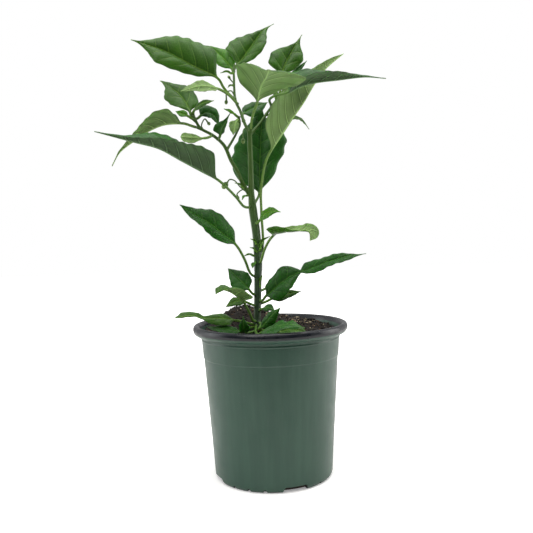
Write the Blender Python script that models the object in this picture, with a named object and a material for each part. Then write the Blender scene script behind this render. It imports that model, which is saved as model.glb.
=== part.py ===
"""A young pepper plant in a round nursery pot.

Blender 4.5. The frame is the pot's own: the origin is the middle of the pot's underside,
+Z points up, -Y points to the front, and every size in this file is in millimetres until
MM turns it into metres. The pot, the soil, the branching stem and each leaf are separate
solids. A leaf is one body with its stalk, and it stops GAP short of the stem it grows from.
"""

import math
from collections import namedtuple

import bmesh
import bpy
import numpy as np

MM = 0.001
GAP = 0.35

# Pot: a thin turned shell with a thick rolled rim
POT_TOP_RADIUS = 82.5
POT_HEIGHT = 163.0
POT_FOOT_RADIUS = 60.6
POT_WALL = 1.5
POT_FLOOR = 1.8
POT_SIDES = 48
WALL_FOOT_RADIUS = 62.8
WALL_SLOPE = 0.0675
BAND_FOOT_HEIGHT = 129.0
BAND_STEP = 0.6
BEAD_HEIGHT = 148.0
BEAD_OUT = 0.5
RIM_FOOT_HEIGHT = 151.5

# Drainage: four wide slots and three small notches between each two, cut in the foot
SLOT_FIRST_DEG = 20.0
SLOT_WIDTH = 27.0
SLOT_DEPTH = 12.0
SLOT_HEIGHT = 5.5
NOTCH_OFFSETS_DEG = (29.0, 45.0, 61.0)
NOTCH_WIDTH = 5.0
NOTCH_HEIGHT = 3.6

# Soil: fills the pot from its floor, with a mound behind the stem
SOIL_LEVEL = 152.0
SOIL_TILT = 0.1
MOUND_HEIGHT = 17.0
MOUND_PLACE = (-30.0, 48.0)
MOUND_SPREAD = 24.0
SOIL_SIDES = 40
SOIL_RINGS = 7
SOIL_EDGE_DROP = 12.0
STEM_HOLE_RADIUS = 5.2
STEM_HOLE_DEPTH = 34.0

# Leaves
BLADE = 0.8
STALK_RADIUS = 1.35
TIP_HALF = 0.35
WIDEST = 0.38
STALK_FADE = 0.14
MIDRIB_DROP = 0.9


def unit(vector):
    vector = np.asarray(vector, float)
    return vector / np.linalg.norm(vector)


def smooth_curve(points, per_span=24):
    """Points close together on a centripetal Catmull-Rom curve through the given ones."""
    points = [np.asarray(p, float) for p in points]
    if len(points) == 2:
        points = [points[0], (points[0] + points[1]) / 2, points[1]]
    ends = [2 * points[0] - points[1]] + points + [2 * points[-1] - points[-2]]
    line = []
    for a, b, c, d in zip(ends, ends[1:], ends[2:], ends[3:]):
        t0 = 0.0
        t1 = t0 + np.linalg.norm(b - a) ** 0.5
        t2 = t1 + np.linalg.norm(c - b) ** 0.5
        t3 = t2 + np.linalg.norm(d - c) ** 0.5
        for t in np.linspace(t1, t2, per_span, endpoint=False):
            ab = (t1 - t) / (t1 - t0) * a + (t - t0) / (t1 - t0) * b
            bc = (t2 - t) / (t2 - t1) * b + (t - t1) / (t2 - t1) * c
            cd = (t3 - t) / (t3 - t2) * c + (t - t2) / (t3 - t2) * d
            abc = (t2 - t) / (t2 - t0) * ab + (t - t0) / (t2 - t0) * bc
            bcd = (t3 - t) / (t3 - t1) * bc + (t - t1) / (t3 - t1) * cd
            line.append((t2 - t) / (t2 - t1) * abc + (t - t1) / (t2 - t1) * bcd)
    line.append(points[-1])
    return np.array(line)


class Path:
    """A smooth line that can be read by the distance along it."""

    def __init__(self, points):
        self.line = smooth_curve(points)
        steps = np.linalg.norm(np.diff(self.line, axis=0), axis=1)
        self.along = np.concatenate([[0.0], np.cumsum(steps)])
        self.length = self.along[-1]
        self.directions = np.gradient(self.line, self.along, axis=0)

    def read(self, values, distance):
        return np.array([np.interp(distance, self.along, values[:, k]) for k in range(3)])

    def at(self, distance):
        return self.read(self.line, distance)

    def direction(self, distance):
        return unit(self.read(self.directions, distance))

    def distance_to(self, point):
        return self.along[np.argmin(np.linalg.norm(self.line - np.asarray(point, float), axis=1))]


def carry(vector, path, start, end, steps=24):
    """The vector, turned with the path from one distance along it to another."""
    vector = np.asarray(vector, float)
    before = path.direction(start)
    for distance in np.linspace(start, end, steps + 1)[1:]:
        after = path.direction(distance)
        axis = np.cross(before, after)
        turned = vector + np.cross(axis, vector)
        vector = turned + np.cross(axis, np.cross(axis, vector)) / (1 + before @ after)
        before = after
    return vector


def new_object(name, bm, material):
    """Makes an object of a bmesh whose points are in millimetres."""
    bmesh.ops.scale(bm, vec=(MM, MM, MM), verts=bm.verts)
    bmesh.ops.recalc_face_normals(bm, faces=bm.faces)
    mesh = bpy.data.meshes.new(name)
    bm.to_mesh(mesh)
    bm.free()
    mesh.materials.append(material)
    mesh.shade_smooth()
    mesh.set_sharp_from_angle(angle=math.radians(40))
    obj = bpy.data.objects.new(name, mesh)
    bpy.context.scene.collection.objects.link(obj)
    return obj


def make_material(name, color, roughness):
    material = bpy.data.materials.new(name)
    material.use_nodes = True
    shader = material.node_tree.nodes["Principled BSDF"]
    shader.inputs["Base Color"].default_value = (*color, 1.0)
    shader.inputs["Roughness"].default_value = roughness
    shader.inputs["Metallic"].default_value = 0.0
    return material


def turned_solid(profile, sides):
    """A solid of revolution from (radius, height) pairs that start and end on the axis."""
    bm = bmesh.new()
    points = [bm.verts.new((radius, 0.0, height)) for radius, height in profile]
    edges = [bm.edges.new(pair) for pair in zip(points, points[1:])]
    bmesh.ops.spin(
        bm,
        geom=points + edges,
        cent=(0, 0, 0),
        axis=(0, 0, 1),
        angle=math.tau,
        steps=sides,
        use_merge=True,
    )
    bmesh.ops.remove_doubles(bm, verts=bm.verts, dist=0.001)
    return bm


def wall_radius(height):
    """The pot's outer radius at a height between the foot and the rim."""
    step = BAND_STEP if height > BAND_FOOT_HEIGHT else 0.0
    return WALL_FOOT_RADIUS + WALL_SLOPE * height + step


def inside_radius(height):
    """The pot's inner radius at a height between the floor and the rim."""
    band_radius = wall_radius(BAND_FOOT_HEIGHT) - BAND_STEP - POT_WALL
    if height > BAND_FOOT_HEIGHT:
        share = (height - BAND_FOOT_HEIGHT) / (RIM_FOOT_HEIGHT - BAND_FOOT_HEIGHT)
        return band_radius + share * (wall_radius(RIM_FOOT_HEIGHT) - POT_WALL - band_radius)
    floor_radius = wall_radius(POT_FLOOR) - 2 * POT_WALL
    share = (height - POT_FLOOR) / (BAND_FOOT_HEIGHT - POT_FLOOR)
    return floor_radius + share * (band_radius - floor_radius)


def pot_profile():
    band = BAND_FOOT_HEIGHT
    rim = RIM_FOOT_HEIGHT
    top = POT_HEIGHT
    outside = [
        (0.0, 0.0),
        (POT_FOOT_RADIUS, 0.0),
        (wall_radius(3.0), 3.0),
        (wall_radius(band - 0.8), band - 0.8),
        (wall_radius(band) + BAND_STEP, band + 0.2),
        (wall_radius(BEAD_HEIGHT - 1.2), BEAD_HEIGHT - 1.2),
        (wall_radius(BEAD_HEIGHT) + BEAD_OUT, BEAD_HEIGHT),
        (wall_radius(BEAD_HEIGHT + 1.2), BEAD_HEIGHT + 1.2),
        (wall_radius(rim) + 0.3, rim),
        (POT_TOP_RADIUS - 4.0, rim + 1.0),
        (POT_TOP_RADIUS - 1.3, rim + 3.0),
        (POT_TOP_RADIUS, top - 4.4),
        (POT_TOP_RADIUS - 1.0, top - 1.2),
        (POT_TOP_RADIUS - 3.4, top),
    ]
    inside = [
        (POT_TOP_RADIUS - 6.0, top - 0.8),
        (POT_TOP_RADIUS - 7.6, top - 3.4),
        (inside_radius(rim), rim + 1.0),
        (inside_radius(band), band),
        (inside_radius(POT_FLOOR), POT_FLOOR),
        (0.0, POT_FLOOR),
    ]
    return outside + inside


def ring_place(angle_deg, radius, height):
    angle = math.radians(angle_deg)
    return (radius * math.cos(angle), radius * math.sin(angle), height)


def add_block(bm, corners):
    """A prism from two equal outlines, the second facing the first."""
    first, second = ([bm.verts.new(p) for p in outline] for outline in corners)
    bm.faces.new(first[::-1])
    bm.faces.new(second)
    count = len(first)
    for i in range(count):
        j = (i + 1) % count
        bm.faces.new((first[i], first[j], second[j], second[i]))


def drain_outline(angle_deg, radius, outline):
    """Places (sideways, height) pairs on the plane square to a radius of the foot."""
    angle = math.radians(angle_deg)
    across = np.array((-math.sin(angle), math.cos(angle), 0.0))
    middle = np.array(ring_place(angle_deg, radius, 0.0))
    return [tuple(middle + side * across + np.array((0, 0, height))) for side, height in outline]


def drain_cutters():
    """One mesh that holds every slot and notch of the foot."""
    half = SLOT_WIDTH / 2
    slot = [(-half, -2), (half, -2), (half - 2, SLOT_HEIGHT), (-half + 2, SLOT_HEIGHT)]
    notch = [(-NOTCH_WIDTH / 2, -0.5), (NOTCH_WIDTH / 2, -0.5), (0, NOTCH_HEIGHT)]
    bm = bmesh.new()
    outer = POT_FOOT_RADIUS + 8
    for quarter in range(4):
        angle = SLOT_FIRST_DEG + 90 * quarter
        inner = POT_FOOT_RADIUS - SLOT_DEPTH
        add_block(bm, (drain_outline(angle, inner, slot), drain_outline(angle, outer, slot)))
        for offset in NOTCH_OFFSETS_DEG:
            inner = POT_FOOT_RADIUS - 4
            place = angle + offset
            add_block(bm, (drain_outline(place, inner, notch), drain_outline(place, outer, notch)))
    return bm


def make_pot(material, helper_material):
    pot = new_object("pot", turned_solid(pot_profile(), POT_SIDES), material)
    cutters = new_object("drain_cutters", drain_cutters(), helper_material)
    cutters.hide_render = True
    cutters.display_type = "WIRE"
    cut = pot.modifiers.new("drainage", "BOOLEAN")
    cut.operation = "DIFFERENCE"
    cut.solver = "EXACT"
    cut.object = cutters
    return pot


def soil_height(x, y):
    """A loose crumbly surface: a gentle slope, one mound and small lumps."""
    mound = math.exp(-((x - MOUND_PLACE[0]) ** 2 + (y - MOUND_PLACE[1]) ** 2) / (2 * MOUND_SPREAD**2))
    lumps = 0.9 * math.sin(0.31 * x + 1.1) * math.sin(0.27 * y + 0.4)
    lumps += 0.5 * math.sin(0.61 * x - 0.43 * y)
    return SOIL_LEVEL + SOIL_TILT * (y + 20) + MOUND_HEIGHT * mound + lumps


def soil_radius(height):
    """The room inside the pot's flat-sided shell at a height, less the gap to it."""
    return inside_radius(height) * math.cos(math.pi / POT_SIDES) - GAP


def make_soil(material, hole_place):
    """Rings run from the bottom of the stem's hole, over the surface and down the sides."""
    hole_x, hole_y = hole_place
    hole_bottom = SOIL_LEVEL - STEM_HOLE_DEPTH
    floor = POT_FLOOR + 2 * GAP
    surface_radius = soil_radius(SOIL_LEVEL - SOIL_EDGE_DROP)
    angles = [math.tau * k / SOIL_SIDES for k in range(SOIL_SIDES)]

    def hole_ring(height):
        return [
            (
                hole_x + STEM_HOLE_RADIUS * math.cos(a),
                hole_y + STEM_HOLE_RADIUS * math.sin(a),
                height,
            )
            for a in angles
        ]

    def surface_ring(share):
        ring = []
        for a in angles:
            x = (1 - share) * (hole_x + STEM_HOLE_RADIUS * math.cos(a))
            y = (1 - share) * (hole_y + STEM_HOLE_RADIUS * math.sin(a))
            x += share * surface_radius * math.cos(a)
            y += share * surface_radius * math.sin(a)
            edge_drop = 1.5 * share**6
            ring.append((x, y, soil_height(x, y) - edge_drop))
        return ring

    def side_ring(height):
        radius = soil_radius(height)
        return [(radius * math.cos(a), radius * math.sin(a), height) for a in angles]

    rings = [hole_ring(hole_bottom)]
    rings += [surface_ring(k / SOIL_RINGS) for k in range(SOIL_RINGS + 1)]
    sides = (SOIL_LEVEL - SOIL_EDGE_DROP, BAND_FOOT_HEIGHT, floor)
    rings += [side_ring(height) for height in sides]
    bm = bmesh.new()
    loops = [[bm.verts.new(p) for p in ring] for ring in rings]
    for before, after in zip(loops, loops[1:]):
        for i in range(SOIL_SIDES):
            j = (i + 1) % SOIL_SIDES
            bm.faces.new((before[i], before[j], after[j]))
            bm.faces.new((before[i], after[j], after[i]))
    for loop, middle in ((loops[0], (hole_x, hole_y, hole_bottom)), (loops[-1], (0, 0, floor))):
        centre = bm.verts.new(middle)
        for i in range(SOIL_SIDES):
            bm.faces.new((centre, loop[i], loop[(i + 1) % SOIL_SIDES]))
    return new_object("soil", bm, material)


# Stem: each branch is a line of (x, y, z, radius), lowest point first
BRANCHES = {
    "trunk": [
        (-14, 0, 120, 3.4),
        (-14, 0, 154, 3.8),
        (-12, 0, 203, 3.9),
        (-11, 0, 229, 4.3),
        (-12, 1, 257, 4.3),
        (-15, 1, 284, 4.4),
        (-16, 0, 300, 3.2),
        (-16, -1, 331, 2.8),
        (-16, -2, 366, 2.6),
    ],
    "left_branch": [
        (-16, 0, 296, 2.4),
        (-25, -2, 312, 2.3),
        (-30, -5, 324, 2.1),
        (-36, -8, 335, 2.0),
        (-43, -12, 351, 1.8),
        (-54, -16, 361, 1.6),
        (-66, -20, 368, 1.5),
        (-71, -22, 377, 1.4),
        (-73, -22, 383, 1.3),
    ],
    "side_shoot": [
        (-40, -11, 346, 1.5),
        (-33, -6, 358, 1.3),
        (-29, -2, 366, 1.2),
        (-26, 2, 374, 1.1),
        (-27, 4, 383, 0.9),
    ],
    "upper_left_branch": [
        (-16, -2, 363, 1.8),
        (-22, 0, 377, 1.6),
        (-25, 2, 387, 1.5),
        (-30, 3, 399, 1.5),
        (-31, 4, 412, 1.3),
        (-31, 5, 423, 1.3),
        (-31, 6, 432, 1.2),
        (-30, 7, 438, 1.1),
    ],
    "upper_right_branch": [
        (-16, -1, 362, 1.8),
        (-5, 6, 375, 1.5),
        (4, 12, 388, 1.4),
        (14, 18, 402, 1.3),
    ],
}

# Flower buds: the bud's stalk as points from the stem, the last one the bud's middle, and its size
BUDS = [
    ([(-65, -20, 369), (-64, -21, 373), (-61, -21, 377), (-57, -22, 372)], (1.9, 1.6)),
    ([(-31, 4, 404), (-34, 2, 409), (-39, 4, 408), (-40, 5, 398)], (2.4, 1.7)),
    ([(-31, 4, 417), (-34, 1, 420), (-36, 0, 423)], (1.8, 1.4)),
    ([(-19, -1, 370), (-22, -7, 367), (-23, -9, 362), (-23, -9, 355)], (3.0, 2.0)),
    ([(-19, -1, 301), (-27, -9, 307), (-33, -12, 314), (-38, -15, 315), (-43, -15, 309)], (4.2, 2.8)),
    ([(-22, -2, 306), (-27, -5, 304), (-31, -8, 300), (-30, -9, 296)], (2.2, 1.5)),
]

# Tiny leaves that have only begun to grow: base, tip, half width
LEAFLETS = [
    ((-11, -2, 246), (-18, -9, 253), 2.2),
    ((-10, -2, 243), (2, -9, 255), 3.2),
    ((-12, -3, 239), (-19, -9, 244), 2.0),
    ((-9, -3, 240), (-6, -11, 249), 2.8),
    ((-13, -1, 235), (-26, -6, 235), 2.6),
    ((-13, -2, 229), (-17, -7, 222), 3.0),
    ((-11, -1, 199), (-7, -8, 214), 2.6),
    ((-31, 5, 428), (-45, 2, 428), 2.4),
    ((-31, 4, 416), (-38, 8, 414), 1.6),
    ((-23, -2, 306), (-33, -7, 312), 2.0),
    ((-19, -1, 300), (-26, -8, 294), 2.2),
    ((14, 18, 401), (9, 12, 408), 2.2),
    ((14, 18, 401), (13, 15, 412), 2.0),
]

# Outlines of half a blade: its width at each of these shares of its length, as a share of
# its widest. Both ends of the blade are points.
WIDTH_SHARES = (0.05, 0.12, 0.22, 0.35, 0.5, 0.65, 0.8, 0.92)
OUTLINES = {
    "oval": (0.36, 0.64, 0.87, 1.0, 0.95, 0.75, 0.45, 0.17),
    "lance": (0.4, 0.72, 0.92, 1.0, 0.86, 0.6, 0.25, 0.07),
    "drip": (0.4, 0.72, 0.92, 1.0, 0.85, 0.58, 0.12, 0.03),
    "heart": (0.55, 0.92, 1.0, 0.93, 0.81, 0.6, 0.28, 0.06),
    "shoulder": (0.7, 0.95, 1.0, 0.98, 0.66, 0.28, 0.08, 0.03),
    "belly": (0.3, 0.5, 0.75, 0.92, 1.0, 0.72, 0.25, 0.05),
    "low_belly": (0.12, 0.28, 0.55, 0.7, 0.92, 1.0, 0.45, 0.07),
    "corner": (0.22, 0.42, 0.62, 0.82, 1.0, 0.5, 0.17, 0.04),
    "triangle": (0.58, 0.72, 0.87, 1.0, 0.75, 0.36, 0.1, 0.03),
    "near_base": (0.65, 0.94, 1.0, 0.83, 0.52, 0.27, 0.13, 0.05),
    "strap": (0.3, 0.65, 0.9, 1.0, 0.88, 0.6, 0.32, 0.16),
    "spoon": (0.12, 0.26, 0.45, 0.68, 0.88, 1.0, 0.95, 0.7),
    "blunt": (0.35, 0.6, 0.73, 0.85, 0.88, 1.0, 0.7, 0.33),
    "notched": (0.55, 0.95, 1.0, 0.75, 0.25, 0.8, 0.8, 0.35),
}

# Leaves. stalk and blade are points along the middle line, from the stem to the tip.
# left and right go from the midrib to the two edges at the widest place, as seen from
# above the leaf with its tip ahead. wave is the height of the edge's waves and their
# number, and bulge lifts each half between midrib and edge. outline names the form of
# the left half, and of the right half too unless right_outline names another.
Leaf = namedtuple(
    "Leaf",
    "stalk blade left right tone wave bulge outline right_outline",
    defaults=("mature", (1.2, 2), 0.12, "oval", None),
)

LEAVES = {
    "leaf_top_left": Leaf(
        stalk=[(-30, 3, 400), (-36, 1, 405), (-42, -3, 412)],
        blade=[(-47, -8, 420), (-71, -14, 432), (-98, -20, 446), (-133, -24, 458)],
        left=(-7, -6, -14),
        right=(12, 8, 24),
        outline="low_belly",
        right_outline="heart",
    ),
    "leaf_top_left_small": Leaf(
        stalk=[(-28, 2, 395), (-36, -12, 402)],
        blade=[(-46, -20, 407), (-62, -31, 408), (-83, -39, 402)],
        left=(-3, 7, 7),
        right=(-1, -8, -6),
        wave=(0.8, 2),
    ),
    "leaf_top_young": Leaf(
        stalk=[(-31, 7, 430), (-32, 11, 431)],
        blade=[(-33, 13, 434), (-39, 16, 443), (-48, 21, 453), (-56, 25, 462)],
        left=(-8, -3, -5),
        right=(8, 3, 8),
        tone="young",
        wave=(0.6, 2),
    ),
    "leaf_top_centre": Leaf(
        stalk=[(-31, 7, 433), (-29, 9, 435)],
        blade=[(-28, 10, 437), (-23, 12, 443), (-13, 16, 457), (2, 22, 477), (13, 26, 484)],
        left=(-17, 3, 13),
        right=(11, -7, -8),
        outline="shoulder",
        right_outline="belly",
    ),
    "leaf_top_right": Leaf(
        stalk=[(14, 19, 401), (18, 23, 412)],
        blade=[(20, 26, 429), (24, 29, 441), (32, 33, 456), (44, 38, 475)],
        left=(-16, -3, 9),
        right=(14, -1, -7),
        outline="shoulder",
        right_outline="belly",
    ),
    "leaf_top_right_back": Leaf(
        stalk=[(9, 15, 395), (15, 27, 401), (22, 34, 415)],
        blade=[(28, 38, 426), (38, 41, 437), (49, 44, 448)],
        left=(-3, 1, 2),
        right=(3, -2, -2),
        tone="dark",
        wave=(0.3, 2),
    ),
    "leaf_front_high": Leaf(
        stalk=[(-15, -3, 364), (-13, -9, 378)],
        blade=[(-7, -17, 393), (-3, -38, 404), (3, -68, 408), (5, -98, 407), (6, -112, 404)],
        left=(39, 4, -1),
        right=(-25, -1, 17),
        wave=(1.6, 2),
        outline="corner",
        right_outline="triangle",
    ),
    "leaf_right_long": Leaf(
        stalk=[(8, 15, 394), (6, 8, 400), (13, 1, 403)],
        blade=[(23, 2, 405), (41, 4, 413), (58, 3, 416), (78, 0, 417), (106, -6, 418), (127, -10, 415)],
        left=(1, 12, 19),
        right=(-3, -11, 8),
        tone="dark",
        outline="near_base",
        right_outline="drip",
    ),
    "leaf_right_rising": Leaf(
        stalk=[(-11, 0, 234), (-6, 0, 243), (-6, -1, 280), (-6, -3, 300), (-4, -3, 316), (-1, -3, 330)],
        blade=[(4, -2, 342), (17, 3, 361), (32, 11, 383), (42, 18, 397), (55, 28, 418), (69, 38, 437), (90, 46, 455)],
        left=(-9, 18, 6),
        right=(-22, -6, 14),
        outline="strap",
    ),
    "leaf_right_back": Leaf(
        stalk=[(2, 11, 385), (8, 24, 385)],
        blade=[(15, 34, 384), (29, 41, 386), (42, 46, 383), (50, 48, 373)],
        left=(0, 4, 3),
        right=(0, -5, -3),
        wave=(0.6, 2),
    ),
    "leaf_back_broad": Leaf(
        stalk=[(-15, 1, 284), (-12, 8, 292)],
        blade=[(-8, 14, 300), (-7, 22, 325), (-5, 29, 355), (-2, 36, 398)],
        left=(-30, -2, 3),
        right=(28, 1, -2),
        tone="dark",
        outline="oval",
        right_outline="low_belly",
    ),
    "leaf_left_long": Leaf(
        stalk=[(-16, 0, 286), (-24, -9, 287), (-32, -16, 297)],
        blade=[(-49, -26, 314), (-65, -33, 323), (-85, -41, 334), (-105, -49, 345), (-128, -57, 351), (-164, -66, 361)],
        left=(11, -8, 19),
        right=(4, 19, 17),
        tone="dark",
        outline="near_base",
        right_outline="lance",
    ),
    "leaf_left_drooping": Leaf(
        stalk=[(-64, -20, 367), (-74, -21, 370)],
        blade=[(-83, -21, 373), (-103, -18, 373), (-118, -16, 368), (-135, -14, 358), (-151, -14, 346), (-159, -16, 332)],
        left=(-4, -12, 13),
        right=(-3, 12, 11),
        outline="near_base",
    ),
    "leaf_left_upright": Leaf(
        stalk=[(-72, -22, 379), (-75, -21, 381)],
        blade=[(-76, -20, 384), (-80, -15, 394), (-88, -9, 405), (-98, -2, 414), (-109, 4, 422)],
        left=(-13, -7, -7),
        right=(13, 7, 6),
        outline="belly",
        right_outline="oval",
    ),
    "leaf_left_narrow": Leaf(
        stalk=[(-73, -22, 383), (-72, -25, 384)],
        blade=[(-71, -27, 385), (-67, -31, 388), (-60, -35, 391), (-50, -39, 392)],
        left=(-1, 2, 3),
        right=(0, -2, -4),
        wave=(0.3, 2),
    ),
    "leaf_left_round": Leaf(
        stalk=[(-71, -22, 377), (-68, -21, 378)],
        blade=[(-66, -20, 380), (-60, -18, 384), (-53, -16, 382), (-47, -13, 371)],
        left=(0, 4, 8),
        right=(0, -5, -6),
        tone="dark",
        wave=(0.4, 2),
    ),
    "leaf_left_tiny": Leaf(
        stalk=[(-70, -22, 375), (-75, -24, 378)],
        blade=[(-78, -24, 380), (-84, -21, 383), (-91, -18, 386)],
        left=(-2, -3, -3),
        right=(1, 1, 4),
        tone="young",
        wave=(0.2, 2),
    ),
    "leaf_left_pale": Leaf(
        stalk=[(-54, -16, 361), (-58, -22, 358)],
        blade=[(-62, -25, 357), (-73, -30, 357), (-85, -34, 358)],
        left=(-1, 3, 5),
        right=(1, -3, -6),
        wave=(0.5, 2),
        outline="spoon",
    ),
    "leaf_branch_dark": Leaf(
        stalk=[(-49, -14, 357), (-47, -18, 358)],
        blade=[(-46, -20, 360), (-44, -22, 366), (-39, -23, 374), (-34, -24, 383)],
        left=(-8, -2, 3),
        right=(3, 3, -1),
        tone="dark",
        wave=(0.4, 2),
        outline="near_base",
    ),
    "leaf_side_pale": Leaf(
        stalk=[(-27, 3, 377), (-28, -2, 378)],
        blade=[(-29, -5, 377), (-31, -9, 371), (-33, -12, 361)],
        left=(-6, 0, 2),
        right=(4, 1, -2),
        wave=(0.6, 3),
        outline="oval",
    ),
    "leaf_side_tiny": Leaf(
        stalk=[(-27, 3, 381), (-30, -1, 383)],
        blade=[(-31, -2, 384), (-36, -5, 387), (-42, -8, 389)],
        left=(0, -1, -2),
        right=(0, 1, 2),
        tone="young",
        wave=(0.2, 2),
    ),
    "leaf_fork_back": Leaf(
        stalk=[(-22, 0, 377), (-23, 6, 382)],
        blade=[(-23, 11, 386), (-11, 20, 394), (4, 30, 401)],
        left=(-6, 2, 5),
        right=(6, -2, -8),
        tone="dark",
        wave=(0.6, 2),
        outline="oval",
    ),
    "leaf_middle_left": Leaf(
        stalk=[(-12, 0, 211), (-19, -6, 216), (-25, -14, 232)],
        blade=[(-33, -20, 247), (-46, -24, 259), (-60, -26, 271), (-75, -27, 280), (-89, -28, 290)],
        left=(-5, -7, -7),
        right=(8, 9, 11),
        tone="dark",
    ),
    "leaf_middle_bright": Leaf(
        stalk=[(-14, 1, 268), (-10, -6, 270)],
        blade=[(-8, -9, 272), (-3, -13, 278), (4, -16, 281), (14, -19, 280)],
        left=(0, 5, 5),
        right=(0, -5, -6),
        tone="young",
        wave=(0.5, 2),
        right_outline="belly",
    ),
    "leaf_middle_right_curled": Leaf(
        stalk=[(-11, 0, 226), (-8, -7, 229), (-3, -12, 243)],
        blade=[(5, -17, 255), (14, -22, 259), (25, -30, 260), (35, -38, 260), (42, -43, 258), (42, -47, 250)],
        left=(-19, -16, 5),
        right=(5, 6, 7),
        outline="near_base",
        right_outline="spoon",
    ),
    "leaf_low_right_long": Leaf(
        stalk=[(-12, 2, 196), (-5, 10, 198), (7, 16, 204), (22, 15, 210)],
        blade=[(31, 13, 214), (45, 10, 219), (64, 4, 226), (86, -3, 232), (103, -8, 234)],
        left=(-1, 6, 7),
        right=(-1, -8, -6),
        tone="dark",
        outline="heart",
        right_outline="oval",
    ),
    "leaf_low_right_broad": Leaf(
        stalk=[(-12, 0, 186), (-7, -8, 188)],
        blade=[(-4, -11, 192), (4, -15, 199), (13, -18, 207), (24, -20, 214), (35, -20, 218)],
        left=(-8, 6, 10),
        right=(9, -8, -9),
        tone="dark",
        outline="blunt",
        right_outline="oval",
    ),
    "leaf_low_right_thin": Leaf(
        stalk=[(-13, 1, 182), (-4, 3, 185)],
        blade=[(3, 4, 188), (13, 1, 191), (23, -3, 194), (34, -6, 196)],
        left=(0, 4, 4),
        right=(0, -5, -5),
        wave=(0.5, 2),
    ),
    "leaf_low_left_dark": Leaf(
        stalk=[(-12, 0, 191), (-18, -5, 195)],
        blade=[(-21, -7, 199), (-27, -7, 206), (-34, -5, 213), (-43, -3, 222)],
        left=(-9, -7, -6),
        right=(9, 7, 6),
        tone="dark",
        wave=(0.8, 2),
    ),
    "leaf_low_left_curled": Leaf(
        stalk=[(-13, 0, 164), (-18, -8, 167), (-20, -17, 173), (-23, -24, 181)],
        blade=[(-27, -29, 189), (-33, -38, 196), (-41, -47, 202), (-49, -54, 204), (-53, -58, 200)],
        left=(15, -14, 2),
        right=(-11, 13, 6),
    ),
    "leaf_low_left_tip": Leaf(
        stalk=[(-13, 0, 180), (-20, -7, 184)],
        blade=[(-26, -11, 187), (-35, -15, 188), (-46, -19, 183)],
        left=(2, -5, -4),
        right=(-2, 4, 4),
        wave=(0.5, 2),
    ),
    "leaf_base_left_long": Leaf(
        stalk=[(-14, 0, 161), (-22, -6, 163), (-29, -10, 166)],
        blade=[(-37, -14, 168), (-51, -20, 171), (-67, -29, 173), (-81, -37, 177), (-96, -45, 176)],
        left=(4, -10, -6),
        right=(-5, 8, 5),
        outline="near_base",
        right_outline="notched",
    ),
    "leaf_base_left_flat": Leaf(
        stalk=[(-14, 0, 159), (-23, -12, 159), (-27, -24, 158)],
        blade=[(-31, -29, 158), (-42, -30, 160), (-54, -28, 162), (-65, -24, 163)],
        left=(2, -9, -4),
        right=(-2, 10, 4),
        tone="dark",
        wave=(0.8, 2),
    ),
    "leaf_base_glossy": Leaf(
        stalk=[(-14, 0, 157), (-17, -13, 156), (-23, -30, 157)],
        blade=[(-25, -36, 158), (-27, -42, 166), (-27, -44, 176)],
        left=(-6, 1, 1),
        right=(6, 0, 1),
        tone="dark",
        wave=(0.5, 2),
        outline="heart",
    ),
    "leaf_base_upright": Leaf(
        stalk=[(-14, 0, 165), (-10, -9, 162), (-12, -20, 159)],
        blade=[(-10, -25, 161), (-4, -31, 168), (2, -35, 175), (11, -37, 183)],
        left=(-2, 5, 4),
        right=(6, 0, -6),
        tone="dark",
        wave=(0.5, 2),
    ),
    "leaf_base_right_wavy": Leaf(
        stalk=[(-14, 0, 162), (-15, -12, 159), (-15, -24, 156), (-12, -37, 156)],
        blade=[(-9, -46, 159), (1, -57, 165), (12, -68, 169), (22, -74, 170), (33, -77, 167)],
        left=(4, 9, 3),
        right=(-4, -13, -5),
        tone="dark",
        wave=(1.8, 3),
    ),
    "leaf_base_right_pale": Leaf(
        stalk=[(-14, 0, 158), (-8, -10, 156), (2, -26, 158)],
        blade=[(9, -33, 157), (19, -38, 160), (29, -40, 159), (38, -41, 156)],
        left=(3, 5, 7),
        right=(-2, -6, -3),
        wave=(0.8, 2),
    ),
    "leaf_base_dark": Leaf(
        stalk=[(-13, 0, 175), (-9, -7, 178)],
        blade=[(-7, -10, 179), (-2, -14, 181), (5, -18, 178)],
        left=(2, 4, 3),
        right=(0, -3, -4),
        tone="dark",
        wave=(0.3, 2),
    ),
}

STEM_SIDES = 8
BUD_SIDES = 6


def tube(points, sides):
    """A round solid along (x, y, z, radius) points, with flat ends."""
    path = Path([p[:3] for p in points])
    places = [path.distance_to(p[:3]) for p in points]
    start = path.direction(0.0)
    side = unit(np.cross(start, (0.3, 1.0, 0.2)))
    bm = bmesh.new()
    rings = []
    for place, point in zip(places, points):
        along = path.direction(place)
        across = unit(carry(side, path, 0.0, place))
        up = np.cross(across, along)
        ring = []
        for k in range(sides):
            angle = math.tau * k / sides
            offset = across * math.cos(angle) + up * math.sin(angle)
            ring.append(bm.verts.new(np.asarray(point[:3]) + point[3] * offset))
        rings.append(ring)
    for before, after in zip(rings, rings[1:]):
        for i in range(sides):
            j = (i + 1) % sides
            bm.faces.new((before[i], before[j], after[j], after[i]))
    bm.faces.new(rings[0][::-1])
    bm.faces.new(rings[-1])
    return bm


def bud_tube(points, size):
    """A thin bud stalk that swells into a closed bud at its end."""
    length, radius = size
    line = [np.asarray(p, float) for p in points]
    out = unit(line[-1] - line[-2])
    tip = line[-1]
    stalk = [(*p, 0.75) for p in line[:-1]]
    bud = [(-length, 0.8), (-0.5 * length, 0.85 * radius), (0.1 * length, radius)]
    bud += [(0.7 * length, 0.6 * radius), (length, 0.2)]
    return tube(stalk + [(*(tip + out * along), r) for along, r in bud], BUD_SIDES)


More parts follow.
